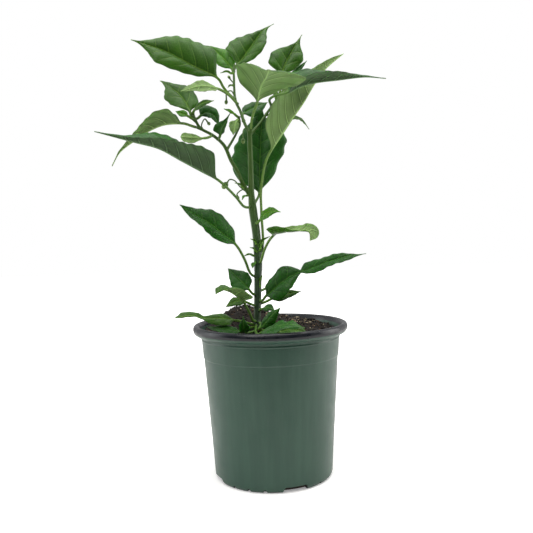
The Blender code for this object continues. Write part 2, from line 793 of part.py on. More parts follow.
def leaflet(base, tip, half_width):
    """A tiny folded leaf: a diamond of four faces on each side."""
    base, tip = np.asarray(base, float), np.asarray(tip, float)
    along = unit(tip - base)
    across = unit(np.cross(along, (0, 0, 1.0)))
    up = np.cross(across, along)
    middle = base + 0.45 * (tip - base)
    outline = [
        (base, 0.9),
        (middle + across * half_width + up * 0.3 * half_width, 0.35),
        (tip, 0.35),
        (middle - across * half_width + up * 0.3 * half_width, 0.35),
    ]
    bm = bmesh.new()
    upper, lower = (
        [bm.verts.new(p + up * sign * thick) for p, thick in outline] for sign in (1, -1)
    )
    keel = [bm.verts.new(middle + up * sign * 0.6) for sign in (1, -1)]
    for i in range(4):
        j = (i + 1) % 4
        bm.faces.new((upper[i], upper[j], keel[0]))
        bm.faces.new((lower[j], lower[i], keel[1]))
        bm.faces.new((upper[j], upper[i], lower[i], lower[j]))
    return bm


def make_stem(material):
    """The branches, buds and first leaves, joined into one body."""
    pieces = bpy.data.collections.new("stem_pieces")
    bpy.context.scene.collection.children.link(pieces)
    meshes = [tube(points, STEM_SIDES) for points in list(BRANCHES.values())[1:]]
    meshes += [bud_tube(points, size) for points, size in BUDS]
    meshes += [leaflet(*values) for values in LEAFLETS]
    for number, bm in enumerate(meshes):
        obj = new_object(f"stem_piece_{number}", bm, material)
        bpy.context.scene.collection.objects.unlink(obj)
        pieces.objects.link(obj)
    stem = new_object("stem", tube(BRANCHES["trunk"], STEM_SIDES), material)
    join = stem.modifiers.new("join", "BOOLEAN")
    join.operation = "UNION"
    join.operand_type = "COLLECTION"
    join.solver = "MANIFOLD"
    join.collection = pieces
    with bpy.context.temp_override(object=stem, active_object=stem):
        bpy.ops.object.modifier_apply(modifier=join.name)
    for obj in list(pieces.objects):
        bpy.data.objects.remove(obj)
    bpy.data.collections.remove(pieces)
    return stem


# Leaf colours: full-grown, shaded and old, and newly unfolded
LEAF_TONES = {
    "mature": (0.05, 0.14, 0.025),
    "dark": (0.02, 0.075, 0.018),
    "young": (0.14, 0.3, 0.02),
}

# Blades longer than this get the finer grid: where its rows lie and how many points a row has
LONG_BLADE = 45.0
FINE_ROWS = (*WIDTH_SHARES, 1.0)
FINE_COLUMNS = 5
COARSE_ROWS = (0.12, 0.35, 0.65, 0.85, 1.0)
COARSE_COLUMNS = 3
STALK_STEP = 7.0


def stem_points():
    """Points close together along every branch, each with the branch's radius there."""
    points = []
    for branch in BRANCHES.values():
        path = Path([p[:3] for p in branch])
        places = [path.distance_to(p[:3]) for p in branch]
        for distance in np.arange(0.0, path.length, 0.5):
            radius = np.interp(distance, places, [p[3] for p in branch])
            points.append((*path.at(distance), radius))
    return np.array(points)


def width_share(share, outline):
    """The half blade's width as a share of its widest, at a share of its length from the base."""
    stations = [(0.0, 0.0), *zip(WIDTH_SHARES, OUTLINES[outline]), (1.0, 0.0)]
    curve = smooth_curve(stations)
    return max(np.interp(share, curve[:, 0], curve[:, 1]), 0.0)


class LeafShape:
    """Turns a row of the leaf table into rings of points round the stalk and the blade."""

    def __init__(self, leaf):
        self.leaf = leaf
        self.path = Path(leaf.stalk + leaf.blade)
        self.base = self.path.distance_to(leaf.blade[0])
        self.blade_length = self.path.length - self.base
        self.widest = self.base + WIDEST * self.blade_length
        along = self.path.direction(self.widest)
        left, right = (np.asarray(v, float) for v in (leaf.left, leaf.right))
        self.left = left - along * (along @ left)
        self.right = right - along * (along @ right)

    def halves(self, distance):
        """The left and right edge vectors and the middle's normal, at a distance along the leaf."""
        along = self.path.direction(distance)
        left, right = (carry(v, self.path, self.widest, distance) for v in (self.left, self.right))
        side = unit(unit(right) - unit(left))
        return left, right, side, np.cross(side, along)

    def lift(self, across, share, reach):
        """How far the blade stands off its flat half: the bulge of the half and the edge's wave."""
        height, count = self.leaf.wave
        phase = math.tau * count * share + (1.3 if across > 0 else 0.0)
        wave = height * across**2 * math.sin(phase) * math.sin(math.pi * share) ** 0.5
        return self.leaf.bulge * reach * abs(across) * (1 - abs(across)) * 4 + wave

    def ring(self, distance, columns):
        """Upper points from the left edge to the right one, then the lower points beneath them."""
        centre = self.path.at(distance)
        left, right, side, up = self.halves(distance)
        along = self.path.direction(distance)
        share = max((distance - self.base) / self.blade_length, 0.0)
        left_width = width_share(share, self.leaf.outline)
        right_width = width_share(share, self.leaf.right_outline or self.leaf.outline)
        fade = max(1 - share / STALK_FADE, 0.0) if distance > self.base else 1.0
        stalk = fade * fade * (3 - 2 * fade)
        upper, lower = [], []
        for across in np.linspace(-1, 1, columns):
            half, width = (left, left_width) if across < 0 else (right, right_width)
            reach = max(width * np.linalg.norm(half), TIP_HALF)
            normal = np.cross(along, unit(left)) if across < 0 else np.cross(unit(right), along)
            if across == 0:
                normal = up
            turn = across * math.radians(75)
            round_out = STALK_RADIUS * math.sin(turn) * side
            round_up = STALK_RADIUS * math.cos(turn) * up
            sheet = abs(across) * reach * unit(half) + self.lift(across, share, reach) * normal
            keel = MIDRIB_DROP * (1 - share) if across == 0 else 0.0
            flat_up = sheet + normal * BLADE / 2
            flat_down = sheet - normal * (BLADE / 2 + keel)
            upper.append(centre + stalk * (round_out + round_up) + (1 - stalk) * flat_up)
            lower.append(centre + stalk * (round_out - round_up) + (1 - stalk) * flat_down)
        return upper, lower


def clear_start(shape, columns, stem):
    """The first place along the stalk whose whole ring is clear of the stem."""
    for distance in np.arange(0.5, shape.base, 0.25):
        upper, lower = shape.ring(distance, columns)
        ring = np.array(upper + lower)
        away = np.linalg.norm(ring[:, None] - stem[None, :, :3], axis=2) - stem[None, :, 3]
        if away.min() >= GAP:
            return distance
    return shape.base


def leaf_mesh(leaf, stem):
    """One closed body: rings along the stalk and the blade, split alike on both faces."""
    shape = LeafShape(leaf)
    rows, columns = COARSE_ROWS, COARSE_COLUMNS
    if shape.blade_length > LONG_BLADE:
        rows, columns = FINE_ROWS, FINE_COLUMNS
    start = clear_start(shape, columns, stem)
    stalk_rows = max(2, round((shape.base - start) / STALK_STEP) + 1)
    places = list(np.linspace(start, shape.base, stalk_rows))
    places += [shape.base + shape.blade_length * share for share in rows]
    bm = bmesh.new()
    rings = [
        [[bm.verts.new(p) for p in points] for points in shape.ring(place, columns)]
        for place in places
    ]
    for (upper, lower), (next_upper, next_lower) in zip(rings, rings[1:]):
        for i in range(columns - 1):
            j = i + 1
            bm.faces.new((upper[i], upper[j], next_upper[j]))
            bm.faces.new((upper[i], next_upper[j], next_upper[i]))
            bm.faces.new((lower[j], lower[i], next_lower[j]))
            bm.faces.new((lower[i], next_lower[i], next_lower[j]))
        for i in (0, columns - 1):
            bm.faces.new((upper[i], next_upper[i], next_lower[i]))
            bm.faces.new((upper[i], next_lower[i], lower[i]))
    for upper, lower in (rings[0], rings[-1]):
        for i in range(columns - 1):
            bm.faces.new((upper[i], lower[i], lower[i + 1], upper[i + 1]))
    return bm


def main():
    for obj in list(bpy.data.objects):
        bpy.data.objects.remove(obj)
    green_plastic = make_material("green_plastic", (0.055, 0.13, 0.075), 0.42)
    potting_soil = make_material("potting_soil", (0.02, 0.014, 0.009), 0.95)
    stem_green = make_material("stem_green", (0.12, 0.24, 0.08), 0.55)
    leaf_greens = {
        tone: make_material(f"leaf_{tone}", color, 0.45) for tone, color in LEAF_TONES.items()
    }
    make_pot(green_plastic, potting_soil)
    make_soil(potting_soil, BRANCHES["trunk"][0][:2])
    make_stem(stem_green)
    stem = stem_points()
    for name, leaf in LEAVES.items():
        new_object(name, leaf_mesh(leaf, stem), leaf_greens[leaf.tone])


main()
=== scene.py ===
# %% [markdown]
# A young pepper plant in a nursery pot
#
# This lesson dresses a plain model of a potted pepper plant. The plain model has the pot, the
# soil, the stem and every leaf as simple solids at their real size. Each of them is replaced
# here by a finer piece in the same place, and given a finish that looks like the real thing.
# The frame has its origin under the middle of the pot, +Z up, and the front towards -Y.

import math
from collections import namedtuple

import bmesh
import bpy
import numpy as np
from mathutils import Euler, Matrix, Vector, noise


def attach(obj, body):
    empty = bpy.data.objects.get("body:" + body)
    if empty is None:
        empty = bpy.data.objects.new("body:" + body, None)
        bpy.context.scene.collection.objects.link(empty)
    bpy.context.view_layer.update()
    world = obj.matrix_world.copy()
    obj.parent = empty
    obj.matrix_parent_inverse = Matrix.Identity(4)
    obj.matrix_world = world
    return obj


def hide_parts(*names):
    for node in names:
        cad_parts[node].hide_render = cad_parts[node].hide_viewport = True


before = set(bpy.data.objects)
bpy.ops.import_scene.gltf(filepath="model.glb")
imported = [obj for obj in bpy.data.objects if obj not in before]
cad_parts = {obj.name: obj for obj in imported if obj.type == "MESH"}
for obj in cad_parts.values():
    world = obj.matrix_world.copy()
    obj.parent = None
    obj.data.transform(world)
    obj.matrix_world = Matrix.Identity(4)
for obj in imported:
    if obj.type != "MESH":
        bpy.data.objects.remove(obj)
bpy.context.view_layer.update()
MM = 0.001
print("pieces in the plain model:", len(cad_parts))

# %% [markdown]
# The camera
#
# The photograph was taken from about three quarters of a metre away, a little above the rim
# of the pot, with a short telephoto view and the camera turned by about a degree and a half.
# Those numbers were found from the ellipse of the rim and the edges of the pot, so a piece
# in its real place lands where the photograph shows it.

# %% Place the camera
CAMERA_PLACE = (-0.0022, -0.7446, 0.2639)
CAMERA_DOWN = 0.055
CAMERA_TURN = 0.028
LENS_MM = 47.28

lens = bpy.data.cameras.new("camera")
lens.lens = LENS_MM
lens.sensor_width = 36.0
lens.clip_start = 0.01
camera = bpy.data.objects.new("camera", lens)
camera.rotation_mode = "YXZ"
camera.location = CAMERA_PLACE
bpy.context.scene.collection.objects.link(camera)


def camera_axes(down, turn):
    """The camera's right, up and back directions, for a view along +Y tipped down and turned."""
    right = np.array((1.0, 0.0, 0.0))
    ahead = np.array((0.0, math.cos(down), -math.sin(down)))
    up = np.cross(right, ahead)
    turned_right = math.cos(turn) * right - math.sin(turn) * up
    turned_up = math.sin(turn) * right + math.cos(turn) * up
    return turned_right, turned_up, -ahead


camera_matrix = np.eye(4)
camera_matrix[:3, :3] = np.array(camera_axes(CAMERA_DOWN, CAMERA_TURN)).T
camera_matrix[:3, 3] = CAMERA_PLACE
camera.matrix_world = camera_matrix.T.tolist()
bpy.context.scene.camera = camera
print("camera stands", round(-CAMERA_PLACE[1], 3), "m in front of the pot")

# %% [markdown]
# The studio
#
# The photograph shows the plant against plain white. The light in it is soft: it comes from
# large white surfaces above and at both sides, which also draw the two bright upright
# reflections at the edges of the pot. The middle of the pot mirrors the darker side of the
# room, where the camera stands. A bright floor throws light back up under the leaves.


# %% Build the floor and the lights
FLOOR_WIDTH, FLOOR_DEPTH = 6.0, 4.0
FLOOR_FRONT = -0.42
SOFT_BOXES = (
    ("top_light", (0.1, -0.15, 1.5), (1.4, 1.2), 17.0, (1.0, 0.985, 0.96)),
    ("left_light", (-1.15, 0.1, 0.42), (0.7, 1.1), 5.0, (0.96, 0.985, 1.0)),
    ("right_light", (1.1, 0.16, 0.42), (0.6, 1.1), 6.5, (1.0, 0.99, 0.97)),
    ("front_light", (-0.7, -1.4, 1.35), (0.9, 0.9), 9.0, (1.0, 0.98, 0.95)),
)
LIGHT_AIM = (0.0, 0.0, 0.24)


def link(obj):
    """Puts a new object in the scene and returns it."""
    bpy.context.scene.collection.objects.link(obj)
    return obj


def soft_box(name, place, size, watts, color):
    """A large rectangular lamp that faces the middle of the plant."""
    lamp = bpy.data.lights.new(name, "AREA")
    lamp.shape = "RECTANGLE"
    lamp.size, lamp.size_y = size
    lamp.energy = watts
    lamp.color = color
    obj = link(bpy.data.objects.new(name, lamp))
    obj.location = place
    aim = np.array(place) - np.array(LIGHT_AIM)
    side = np.cross((0.0, 0.0, 1.0), aim)
    side = side / np.linalg.norm(side)
    back = aim / np.linalg.norm(aim)
    turn = np.eye(4)
    turn[:3, :3] = np.array((side, np.cross(back, side), back)).T
    turn[:3, 3] = place
    obj.matrix_world = turn.T.tolist()


for box in SOFT_BOXES:
    soft_box(*box)

half, back = FLOOR_WIDTH / 2, FLOOR_FRONT + FLOOR_DEPTH
corners = [(-half, FLOOR_FRONT, -0.0005), (half, FLOOR_FRONT, -0.0005), (half, back, -0.0005), (-half, back, -0.0005)]
floor_mesh = bpy.data.meshes.new("floor")
floor_mesh.from_pydata(corners, [], [(0, 1, 2, 3)])
floor = link(bpy.data.objects.new("floor", floor_mesh))
print("soft boxes:", len(SOFT_BOXES))

# %% [markdown]
# Writing materials in short lines
#
# Every finish below is made of nodes: small steps of arithmetic and noise that Blender works
# out for each point of a surface. The helper keeps a tree of nodes and adds one node per
# call, and wires any input that is given another node's output.


# %% A helper that writes nodes
class Nodes:
    """Adds nodes to one tree. An input is a number, a colour or another node's output."""

    def __init__(self, tree):
        self.tree = tree

    def add(self, kind, inputs=(), out=0, **settings):
        node = self.tree.nodes.new("ShaderNode" + kind)
        for name, value in settings.items():
            setattr(node, name, value)
        for name, value in dict(inputs).items():
            if isinstance(value, bpy.types.NodeSocket):
                self.tree.links.new(value, node.inputs[name])
            else:
                node.inputs[name].default_value = value
        return node.outputs[out]

    def math(self, operation, *values):
        return self.add("Math", enumerate(values), operation=operation)

    def mix(self, share, first, second):
        """A colour between two others."""
        names = {"Factor": share, "A": first, "B": second}
        node = self.tree.nodes.new("ShaderNodeMix")
        node.data_type = "RGBA"
        for name, value in names.items():
            socket = next(s for s in node.inputs if s.name == name and (s.type == "RGBA") == (name != "Factor"))
            if isinstance(value, bpy.types.NodeSocket):
                self.tree.links.new(value, socket)
            elif name == "Factor":
                socket.default_value = value
            else:
                socket.default_value = (*value, 1.0)
        return next(s for s in node.outputs if s.type == "RGBA")

    def smooth(self, value, low, high, to_low=0.0, to_high=1.0):
        """Goes smoothly from to_low to to_high as the value goes from low to high."""
        names = {0: value, 1: low, 2: high, 3: to_low, 4: to_high}
        return self.add("MapRange", names, interpolation_type="SMOOTHSTEP")

    def noise(self, scale, detail=2.0, place=None, roughness=0.5):
        place = place or self.add("TexCoord", out=3)
        names = {"Vector": place, "Scale": scale, "Detail": detail, "Roughness": roughness}
        return self.add("TexNoise", names)

    def stretched(self, x, y, z):
        """The place in the model, squeezed along each axis before noise reads it."""
        return self.add("Mapping", {"Vector": self.add("TexCoord", out=3), "Scale": (x, y, z)})

    def uv(self, name):
        """The two numbers that one of the piece's UV maps keeps at each point."""
        parts = self.add("SeparateXYZ", {"Vector": self.add("UVMap", uv_map=name)}).node
        return parts.outputs["X"], parts.outputs["Y"]

    def bump(self, height, distance, strength=1.0):
        names = {"Height": height, "Distance": distance, "Strength": strength}
        return self.add("Bump", names)


def new_material(name, paint, **constants):
    """A Principled material. paint(nodes) returns the inputs that vary over the surface."""
    material = bpy.data.materials.new(name)
    material.use_nodes = True
    nodes = Nodes(material.node_tree)
    shader = material.node_tree.nodes["Principled BSDF"]
    for socket, value in constants.items():
        shader.inputs[socket.replace("_", " ")].default_value = value
    for socket, value in paint(nodes).items():
        material.node_tree.links.new(value, shader.inputs[socket])
    return material


# %% [markdown]
# The room's light and the white floor
#
# The background is plain white for the camera. For everything else the room is bright above,
# behind and at the sides, and dim towards the front, so the middle of the shiny pot stays
# dark. The floor is a little brighter than white paper, so it meets the background with no
# line, and only a faint warm shadow shows beside the foot of the pot.

# %% Paint the room and the floor
ROOM_DIM, ROOM_BRIGHT = 0.03, 0.6

world = bpy.data.worlds.new("studio")
bpy.context.scene.world = world
world.use_nodes = True
room = Nodes(world.node_tree)
direction = room.add("SeparateXYZ", {"Vector": room.add("TexCoord")})
towards_back = direction.node.outputs["Y"]
upwards = direction.node.outputs["Z"]
open_side = room.math("MAXIMUM", room.smooth(towards_back, -0.55, 0.35), room.smooth(upwards, 0.25, 0.8))
glow = room.math("MULTIPLY_ADD", open_side, ROOM_BRIGHT - ROOM_DIM, ROOM_DIM)
seen = room.add("LightPath")
strength = room.math("MAXIMUM", glow, seen)
background = world.node_tree.nodes["Background"]
background.inputs["Color"].default_value = (1.0, 1.0, 1.0, 1.0)
world.node_tree.links.new(strength, background.inputs["Strength"])

bpy.context.scene.view_settings.view_transform = "Standard"
bpy.context.scene.view_settings.look = "None"


SHADOW_NEAR, SHADOW_FAR = 0.08, 0.17
SHADOW_LIFT = 0.3


def paint_floor(nodes):
    distance = nodes.add("VectorMath", {0: nodes.add("TexCoord", out=3)}, out=1, operation="LENGTH")
    away = nodes.smooth(distance, SHADOW_NEAR, SHADOW_FAR, SHADOW_LIFT, 1.0)
    away = nodes.math("MULTIPLY", away, nodes.add("LightPath"))
    return {
        "Base Color": nodes.mix(nodes.noise(3.0), (0.93, 0.925, 0.91), (0.95, 0.945, 0.935)),
        "Emission Strength": away,
    }


white_floor = new_material("white_floor", paint_floor, Roughness=0.9, Emission_Color=(1.0, 1.0, 1.0, 1.0))
floor.data.materials.append(white_floor)
print("room light from", ROOM_DIM, "to", ROOM_BRIGHT)

# %% [markdown]
# The pot's plastic
#
# Nursery pots are moulded from two layers of cheap plastic: green outside and black inside,
# and the black one also makes the rolled rim. The wall is satin and nearly smooth. Close up
# it has faint upright streaks, where the plastic flowed, and a few dusty scuffs.


# %% Paint the green wall and the black rim
def paint_green_wall(nodes):
    streaks = nodes.noise(1.0, 4.0, nodes.stretched(90.0, 90.0, 5.0), 0.6)
    clouds = nodes.noise(14.0, 3.0)
    color = nodes.mix(nodes.smooth(streaks, 0.35, 0.7), (0.018, 0.062, 0.040), (0.026, 0.078, 0.050))
    color = nodes.mix(nodes.smooth(clouds, 0.5, 0.8, 0.0, 0.35), color, (0.036, 0.092, 0.058))
    dust = nodes.noise(420.0, 3.0)
    color = nodes.mix(nodes.smooth(dust, 0.68, 0.78, 0.0, 0.18), color, (0.12, 0.16, 0.13))
    roughness = nodes.smooth(nodes.noise(60.0, 4.0), 0.3, 0.75, 0.3, 0.42)
    height = nodes.math("MULTIPLY_ADD", nodes.noise(700.0, 2.0), 0.25, streaks)
    return {"Base Color": color, "Roughness": roughness, "Normal": nodes.bump(height, 0.00012, 0.5)}


def paint_black_rim(nodes):
    dust = nodes.noise(240.0, 5.0, None, 0.65)
    color = nodes.mix(nodes.smooth(dust, 0.55, 0.8), (0.004, 0.006, 0.010), (0.030, 0.034, 0.044))
    roughness = nodes.smooth(nodes.noise(90.0, 3.0), 0.3, 0.7, 0.26, 0.42)
    return {"Base Color": color, "Roughness": roughness, "Normal": nodes.bump(dust, 0.0001, 0.4)}


green_wall = new_material("green_plastic_wall", paint_green_wall, IOR=1.5)
black_rim = new_material("black_plastic_rim", paint_black_rim, IOR=1.5)
print("pot finishes:", green_wall.name, "and", black_rim.name)

# %% [markdown]
# The pot
#
# A pot like this is a shape of revolution, so its wall is drawn once as a line from the
# middle of the floor, up the outside, over the rim and down the inside, and spun round the
# axis. Corners of the line are rounded first. The drain holes are cut afterwards with a
# Boolean, as the mould's cores would leave them: four wide slots and three small notches
# between each two of them.

# %% Sizes of the pot, in millimetres
POT_TOP_RADIUS = 82.5
POT_HEIGHT = 163.0
POT_FOOT_RADIUS = 60.6
POT_WALL = 1.5
POT_FLOOR = 1.8
POT_SIDES = 192
WALL_FOOT_RADIUS = 62.8
WALL_SLOPE = 0.0675
BAND_FOOT_HEIGHT = 129.0
BAND_STEP = 0.6
BEAD_HEIGHT = 148.0
BEAD_OUT = 0.5
RIM_FOOT_HEIGHT = 151.5
RIM_COLOR_FOOT = 156.5
SLOT_FIRST_DEG = 20.0
SLOT_SIZE = (27.0, 12.0, 5.5)
NOTCH_OFFSETS_DEG = (29.0, 45.0, 61.0)
NOTCH_SIZE = (5.0, 4.0, 3.6)


def wall_radius(height):
    """The pot's outer radius at a height between the foot and the rim."""
    step = BAND_STEP if height > BAND_FOOT_HEIGHT else 0.0
    return WALL_FOOT_RADIUS + WALL_SLOPE * height + step


def inside_radius(height):
    """The pot's inner radius at a height between the floor and the rim."""
    band_radius = wall_radius(BAND_FOOT_HEIGHT) - BAND_STEP - POT_WALL
    if height > BAND_FOOT_HEIGHT:
        share = (height - BAND_FOOT_HEIGHT) / (RIM_FOOT_HEIGHT - BAND_FOOT_HEIGHT)
        return band_radius + share * (wall_radius(RIM_FOOT_HEIGHT) - POT_WALL - band_radius)
    floor_radius = wall_radius(POT_FLOOR) - 2 * POT_WALL
    share = (height - POT_FLOOR) / (BAND_FOOT_HEIGHT - POT_FLOOR)
    return floor_radius + share * (band_radius - floor_radius)


print("foot", 2 * POT_FOOT_RADIUS, "mm and rim", 2 * POT_TOP_RADIUS, "mm across")

# %% Draw the pot's section and round its corners
SECTION = [
    (0.0, 0.0, 0.0),
    (POT_FOOT_RADIUS, 0.0, 1.0),
    (wall_radius(3.0), 3.0, 2.2),
    (wall_radius(BAND_FOOT_HEIGHT - 0.8), BAND_FOOT_HEIGHT - 0.8, 0.25),
    (wall_radius(BAND_FOOT_HEIGHT) + BAND_STEP, BAND_FOOT_HEIGHT + 0.2, 0.4),
    (wall_radius(BEAD_HEIGHT - 1.2), BEAD_HEIGHT - 1.2, 0.3),
    (wall_radius(BEAD_HEIGHT) + BEAD_OUT, BEAD_HEIGHT, 0.5),
    (wall_radius(BEAD_HEIGHT + 1.2), BEAD_HEIGHT + 1.2, 0.3),
    (wall_radius(RIM_FOOT_HEIGHT) + 0.3, RIM_FOOT_HEIGHT, 0.5),
    (POT_TOP_RADIUS - 4.0, RIM_FOOT_HEIGHT + 1.0, 1.0),
    (POT_TOP_RADIUS - 1.3, RIM_FOOT_HEIGHT + 3.0, 1.6),
    (POT_TOP_RADIUS, POT_HEIGHT - 4.4, 1.6),
    (POT_TOP_RADIUS - 1.0, POT_HEIGHT - 1.2, 1.0),
    (POT_TOP_RADIUS - 3.4, POT_HEIGHT, 1.0),
    (POT_TOP_RADIUS - 6.0, POT_HEIGHT - 0.8, 1.2),
    (POT_TOP_RADIUS - 7.6, POT_HEIGHT - 3.4, 2.0),
    (inside_radius(RIM_FOOT_HEIGHT), RIM_FOOT_HEIGHT + 1.0, 1.5),
    (inside_radius(BAND_FOOT_HEIGHT), BAND_FOOT_HEIGHT, 1.0),
    (inside_radius(POT_FLOOR), POT_FLOOR, 1.5),
    (0.0, POT_FLOOR, 0.0),
]
ARC_POINTS = 4


def round_corners(section):
    """Replaces each (radius, height, rounding) corner by a short curve that cuts it."""
    points = np.array([corner[:2] for corner in section])
    line = [points[0]]
    for before, corner, after, (*_, size) in zip(points, points[1:], points[2:], section[1:]):
        back, ahead = before - corner, after - corner
        reach_back, reach_ahead = np.linalg.norm(back), np.linalg.norm(ahead)
        cut = min(size, 0.45 * reach_back, 0.45 * reach_ahead)
        start = corner + back / reach_back * cut
        end = corner + ahead / reach_ahead * cut
        for t in np.linspace(0, 1, ARC_POINTS + 1):
            line.append((1 - t) ** 2 * start + 2 * t * (1 - t) * corner + t * t * end)
    line.append(points[-1])
    return line


def object_from(bm, name):
    """A smooth-shaded object from a bmesh in millimetres."""
    bmesh.ops.scale(bm, vec=(MM, MM, MM), verts=bm.verts)
    bmesh.ops.recalc_face_normals(bm, faces=bm.faces)
    mesh = bpy.data.meshes.new(name)
    bm.to_mesh(mesh)
    bm.free()
    mesh.shade_smooth()
    return link(bpy.data.objects.new(name, mesh))


bm = bmesh.new()
section_points = [bm.verts.new((radius, 0.0, height)) for radius, height in round_corners(SECTION)]
section_edges = [bm.edges.new(pair) for pair in zip(section_points, section_points[1:])]
bmesh.ops.spin(
    bm,
    geom=section_points + section_edges,
    cent=(0, 0, 0),
    axis=(0, 0, 1),
    angle=math.tau,
    steps=POT_SIDES,
    use_merge=True,
)
bmesh.ops.remove_doubles(bm, verts=bm.verts, dist=0.001)
pot = object_from(bm, "nursery_pot")
print("pot section has", len(section_points), "points")


# %% Cut the drain holes
def add_prism(bm, outline, angle_deg, inner, outer):
    """A block whose (sideways, height) outline is pushed outwards between two radii."""
    angle = math.radians(angle_deg)
    outwards = np.array((math.cos(angle), math.sin(angle), 0.0))
    across = np.array((-math.sin(angle), math.cos(angle), 0.0))
    loops = [
        [bm.verts.new(outwards * radius + across * side + (0, 0, height)) for side, height in outline]
        for radius in (inner, outer)
    ]
    bm.faces.new(loops[0][::-1])
    bm.faces.new(loops[1])
    for i in range(len(outline)):
        j = (i + 1) % len(outline)
        bm.faces.new((loops[0][i], loops[0][j], loops[1][j], loops[1][i]))


slot_half = SLOT_SIZE[0] / 2
slot_outline = [(-slot_half, -2), (slot_half, -2), (slot_half - 1.2, SLOT_SIZE[2] - 1)]
slot_outline += [(slot_half - 2.6, SLOT_SIZE[2]), (-slot_half + 2.6, SLOT_SIZE[2])]
slot_outline += [(-slot_half + 1.2, SLOT_SIZE[2] - 1)]
notch_outline = [(-NOTCH_SIZE[0] / 2, -0.5), (NOTCH_SIZE[0] / 2, -0.5), (0.5, NOTCH_SIZE[2]), (-0.5, NOTCH_SIZE[2])]
bm = bmesh.new()
for quarter in range(4):
    first = SLOT_FIRST_DEG + 90 * quarter
    add_prism(bm, slot_outline, first, POT_FOOT_RADIUS - SLOT_SIZE[1], POT_FOOT_RADIUS + 8)
    for offset in NOTCH_OFFSETS_DEG:
        add_prism(bm, notch_outline, first + offset, POT_FOOT_RADIUS - NOTCH_SIZE[1], POT_FOOT_RADIUS + 8)
cutters = object_from(bm, "drain_cutters")
cut = pot.modifiers.new("drainage", "BOOLEAN")
cut.operation = "DIFFERENCE"
cut.object = cutters
with bpy.context.temp_override(object=pot, active_object=pot):
    bpy.ops.object.modifier_apply(modifier=cut.name)
bpy.data.objects.remove(cutters)
pot.data.set_sharp_from_angle(angle=math.radians(35))

pot.data.materials.clear()
pot.data.materials.append(green_wall)
pot.data.materials.append(black_rim)
for face in pot.data.polygons:
    x, y, z = (value / MM for value in face.center)
    outside = math.hypot(x, y) > (inside_radius(z) + wall_radius(z)) / 2
    face.material_index = 0 if outside and z < RIM_COLOR_FOOT else 1
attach(pot, "root")
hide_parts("pot")
print("pot faces:", len(pot.data.polygons))

# %% [markdown]
# The soil's colours
#
# Potting mix is moist, dark and crumbly. Most of it is peat, nearly black. Slivers of bark
# are a warmer brown, and grains of perlite are cream to honey-coloured, stained by the peat.


# %% Paint peat, bark and perlite
def paint_peat(nodes):
    clods = nodes.noise(160.0, 3.0)
    grains = nodes.noise(900.0, 3.0, None, 0.6)
    color = nodes.mix(nodes.smooth(clods, 0.35, 0.7), (0.006, 0.004, 0.003), (0.020, 0.013, 0.008))
    color = nodes.mix(nodes.smooth(grains, 0.55, 0.75, 0.0, 0.7), color, (0.055, 0.034, 0.018))
    return {"Base Color": color, "Normal": nodes.bump(grains, 0.0006)}


def paint_bark(nodes):
    fibres = nodes.noise(1.0, 4.0, nodes.stretched(500.0, 500.0, 160.0))
    color = nodes.mix(fibres, (0.030, 0.015, 0.007), (0.13, 0.07, 0.032))
    return {"Base Color": color, "Normal": nodes.bump(fibres, 0.0004)}


def paint_perlite(nodes):
    stain = nodes.noise(220.0, 3.0)
    pores = nodes.noise(1800.0, 3.0)
    color = nodes.mix(nodes.smooth(stain, 0.3, 0.7), (0.28, 0.20, 0.09), (0.72, 0.64, 0.45))
    return {"Base Color": color, "Normal": nodes.bump(pores, 0.0004)}


peat = new_material("peat", paint_peat, Roughness=0.92)
bark = new_material("bark", paint_bark, Roughness=0.85)
perlite = new_material("perlite", paint_perlite, Roughness=0.8)
print("soil finishes:", peat.name, bark.name, perlite.name)

# %% [markdown]
# The soil's surface
#
# The soil fills the pot from its floor. Its top slopes up towards the back, with one mound
# behind the stem where it was heaped up, and reaches almost to the rim there. Fractal noise
# gives it the clods and pits of loose mix. A hole leaves room for the foot of the stem.

# %% Raise the soil's surface
SOIL_LEVEL = 152.0
SOIL_TILT = 0.1
MOUND_HEIGHT = 17.0
MOUND_PLACE = (-30.0, 48.0)
MOUND_SPREAD = 24.0
SOIL_SIDES = 200
SOIL_RINGS = 64
SOIL_EDGE_DROP = 12.0
SOIL_GAP = 0.3
STEM_PLACE = (-14.0, 0.0)
STEM_HOLE_RADIUS = 4.5
STEM_HOLE_DEPTH = 34.0
SOIL_EDGE_RADIUS = inside_radius(RIM_FOOT_HEIGHT) - SOIL_GAP
CLOD_HEIGHT = 1.5
CLOD_SIZE = 7.0


def soil_height(x, y):
    """The heaped surface: a gentle slope, one mound, small lumps and clods."""
    mound = math.exp(-((x - MOUND_PLACE[0]) ** 2 + (y - MOUND_PLACE[1]) ** 2) / (2 * MOUND_SPREAD**2))
    lumps = 0.9 * math.sin(0.31 * x + 1.1) * math.sin(0.27 * y + 0.4)
    lumps += 0.5 * math.sin(0.61 * x - 0.43 * y)
    clods = CLOD_HEIGHT * noise.fractal(Vector((x, y, 3.0)) / CLOD_SIZE, 0.7, 2.2, 5)
    edge_drop = 1.5 * (math.hypot(x, y) / SOIL_EDGE_RADIUS) ** 6
    return SOIL_LEVEL + SOIL_TILT * (y + 20) + MOUND_HEIGHT * mound + lumps + clods - edge_drop


def ring(radius, middle=(0.0, 0.0)):
    angles = np.linspace(0, math.tau, SOIL_SIDES, endpoint=False)
    return np.stack([middle[0] + radius * np.cos(angles), middle[1] + radius * np.sin(angles)], axis=1)


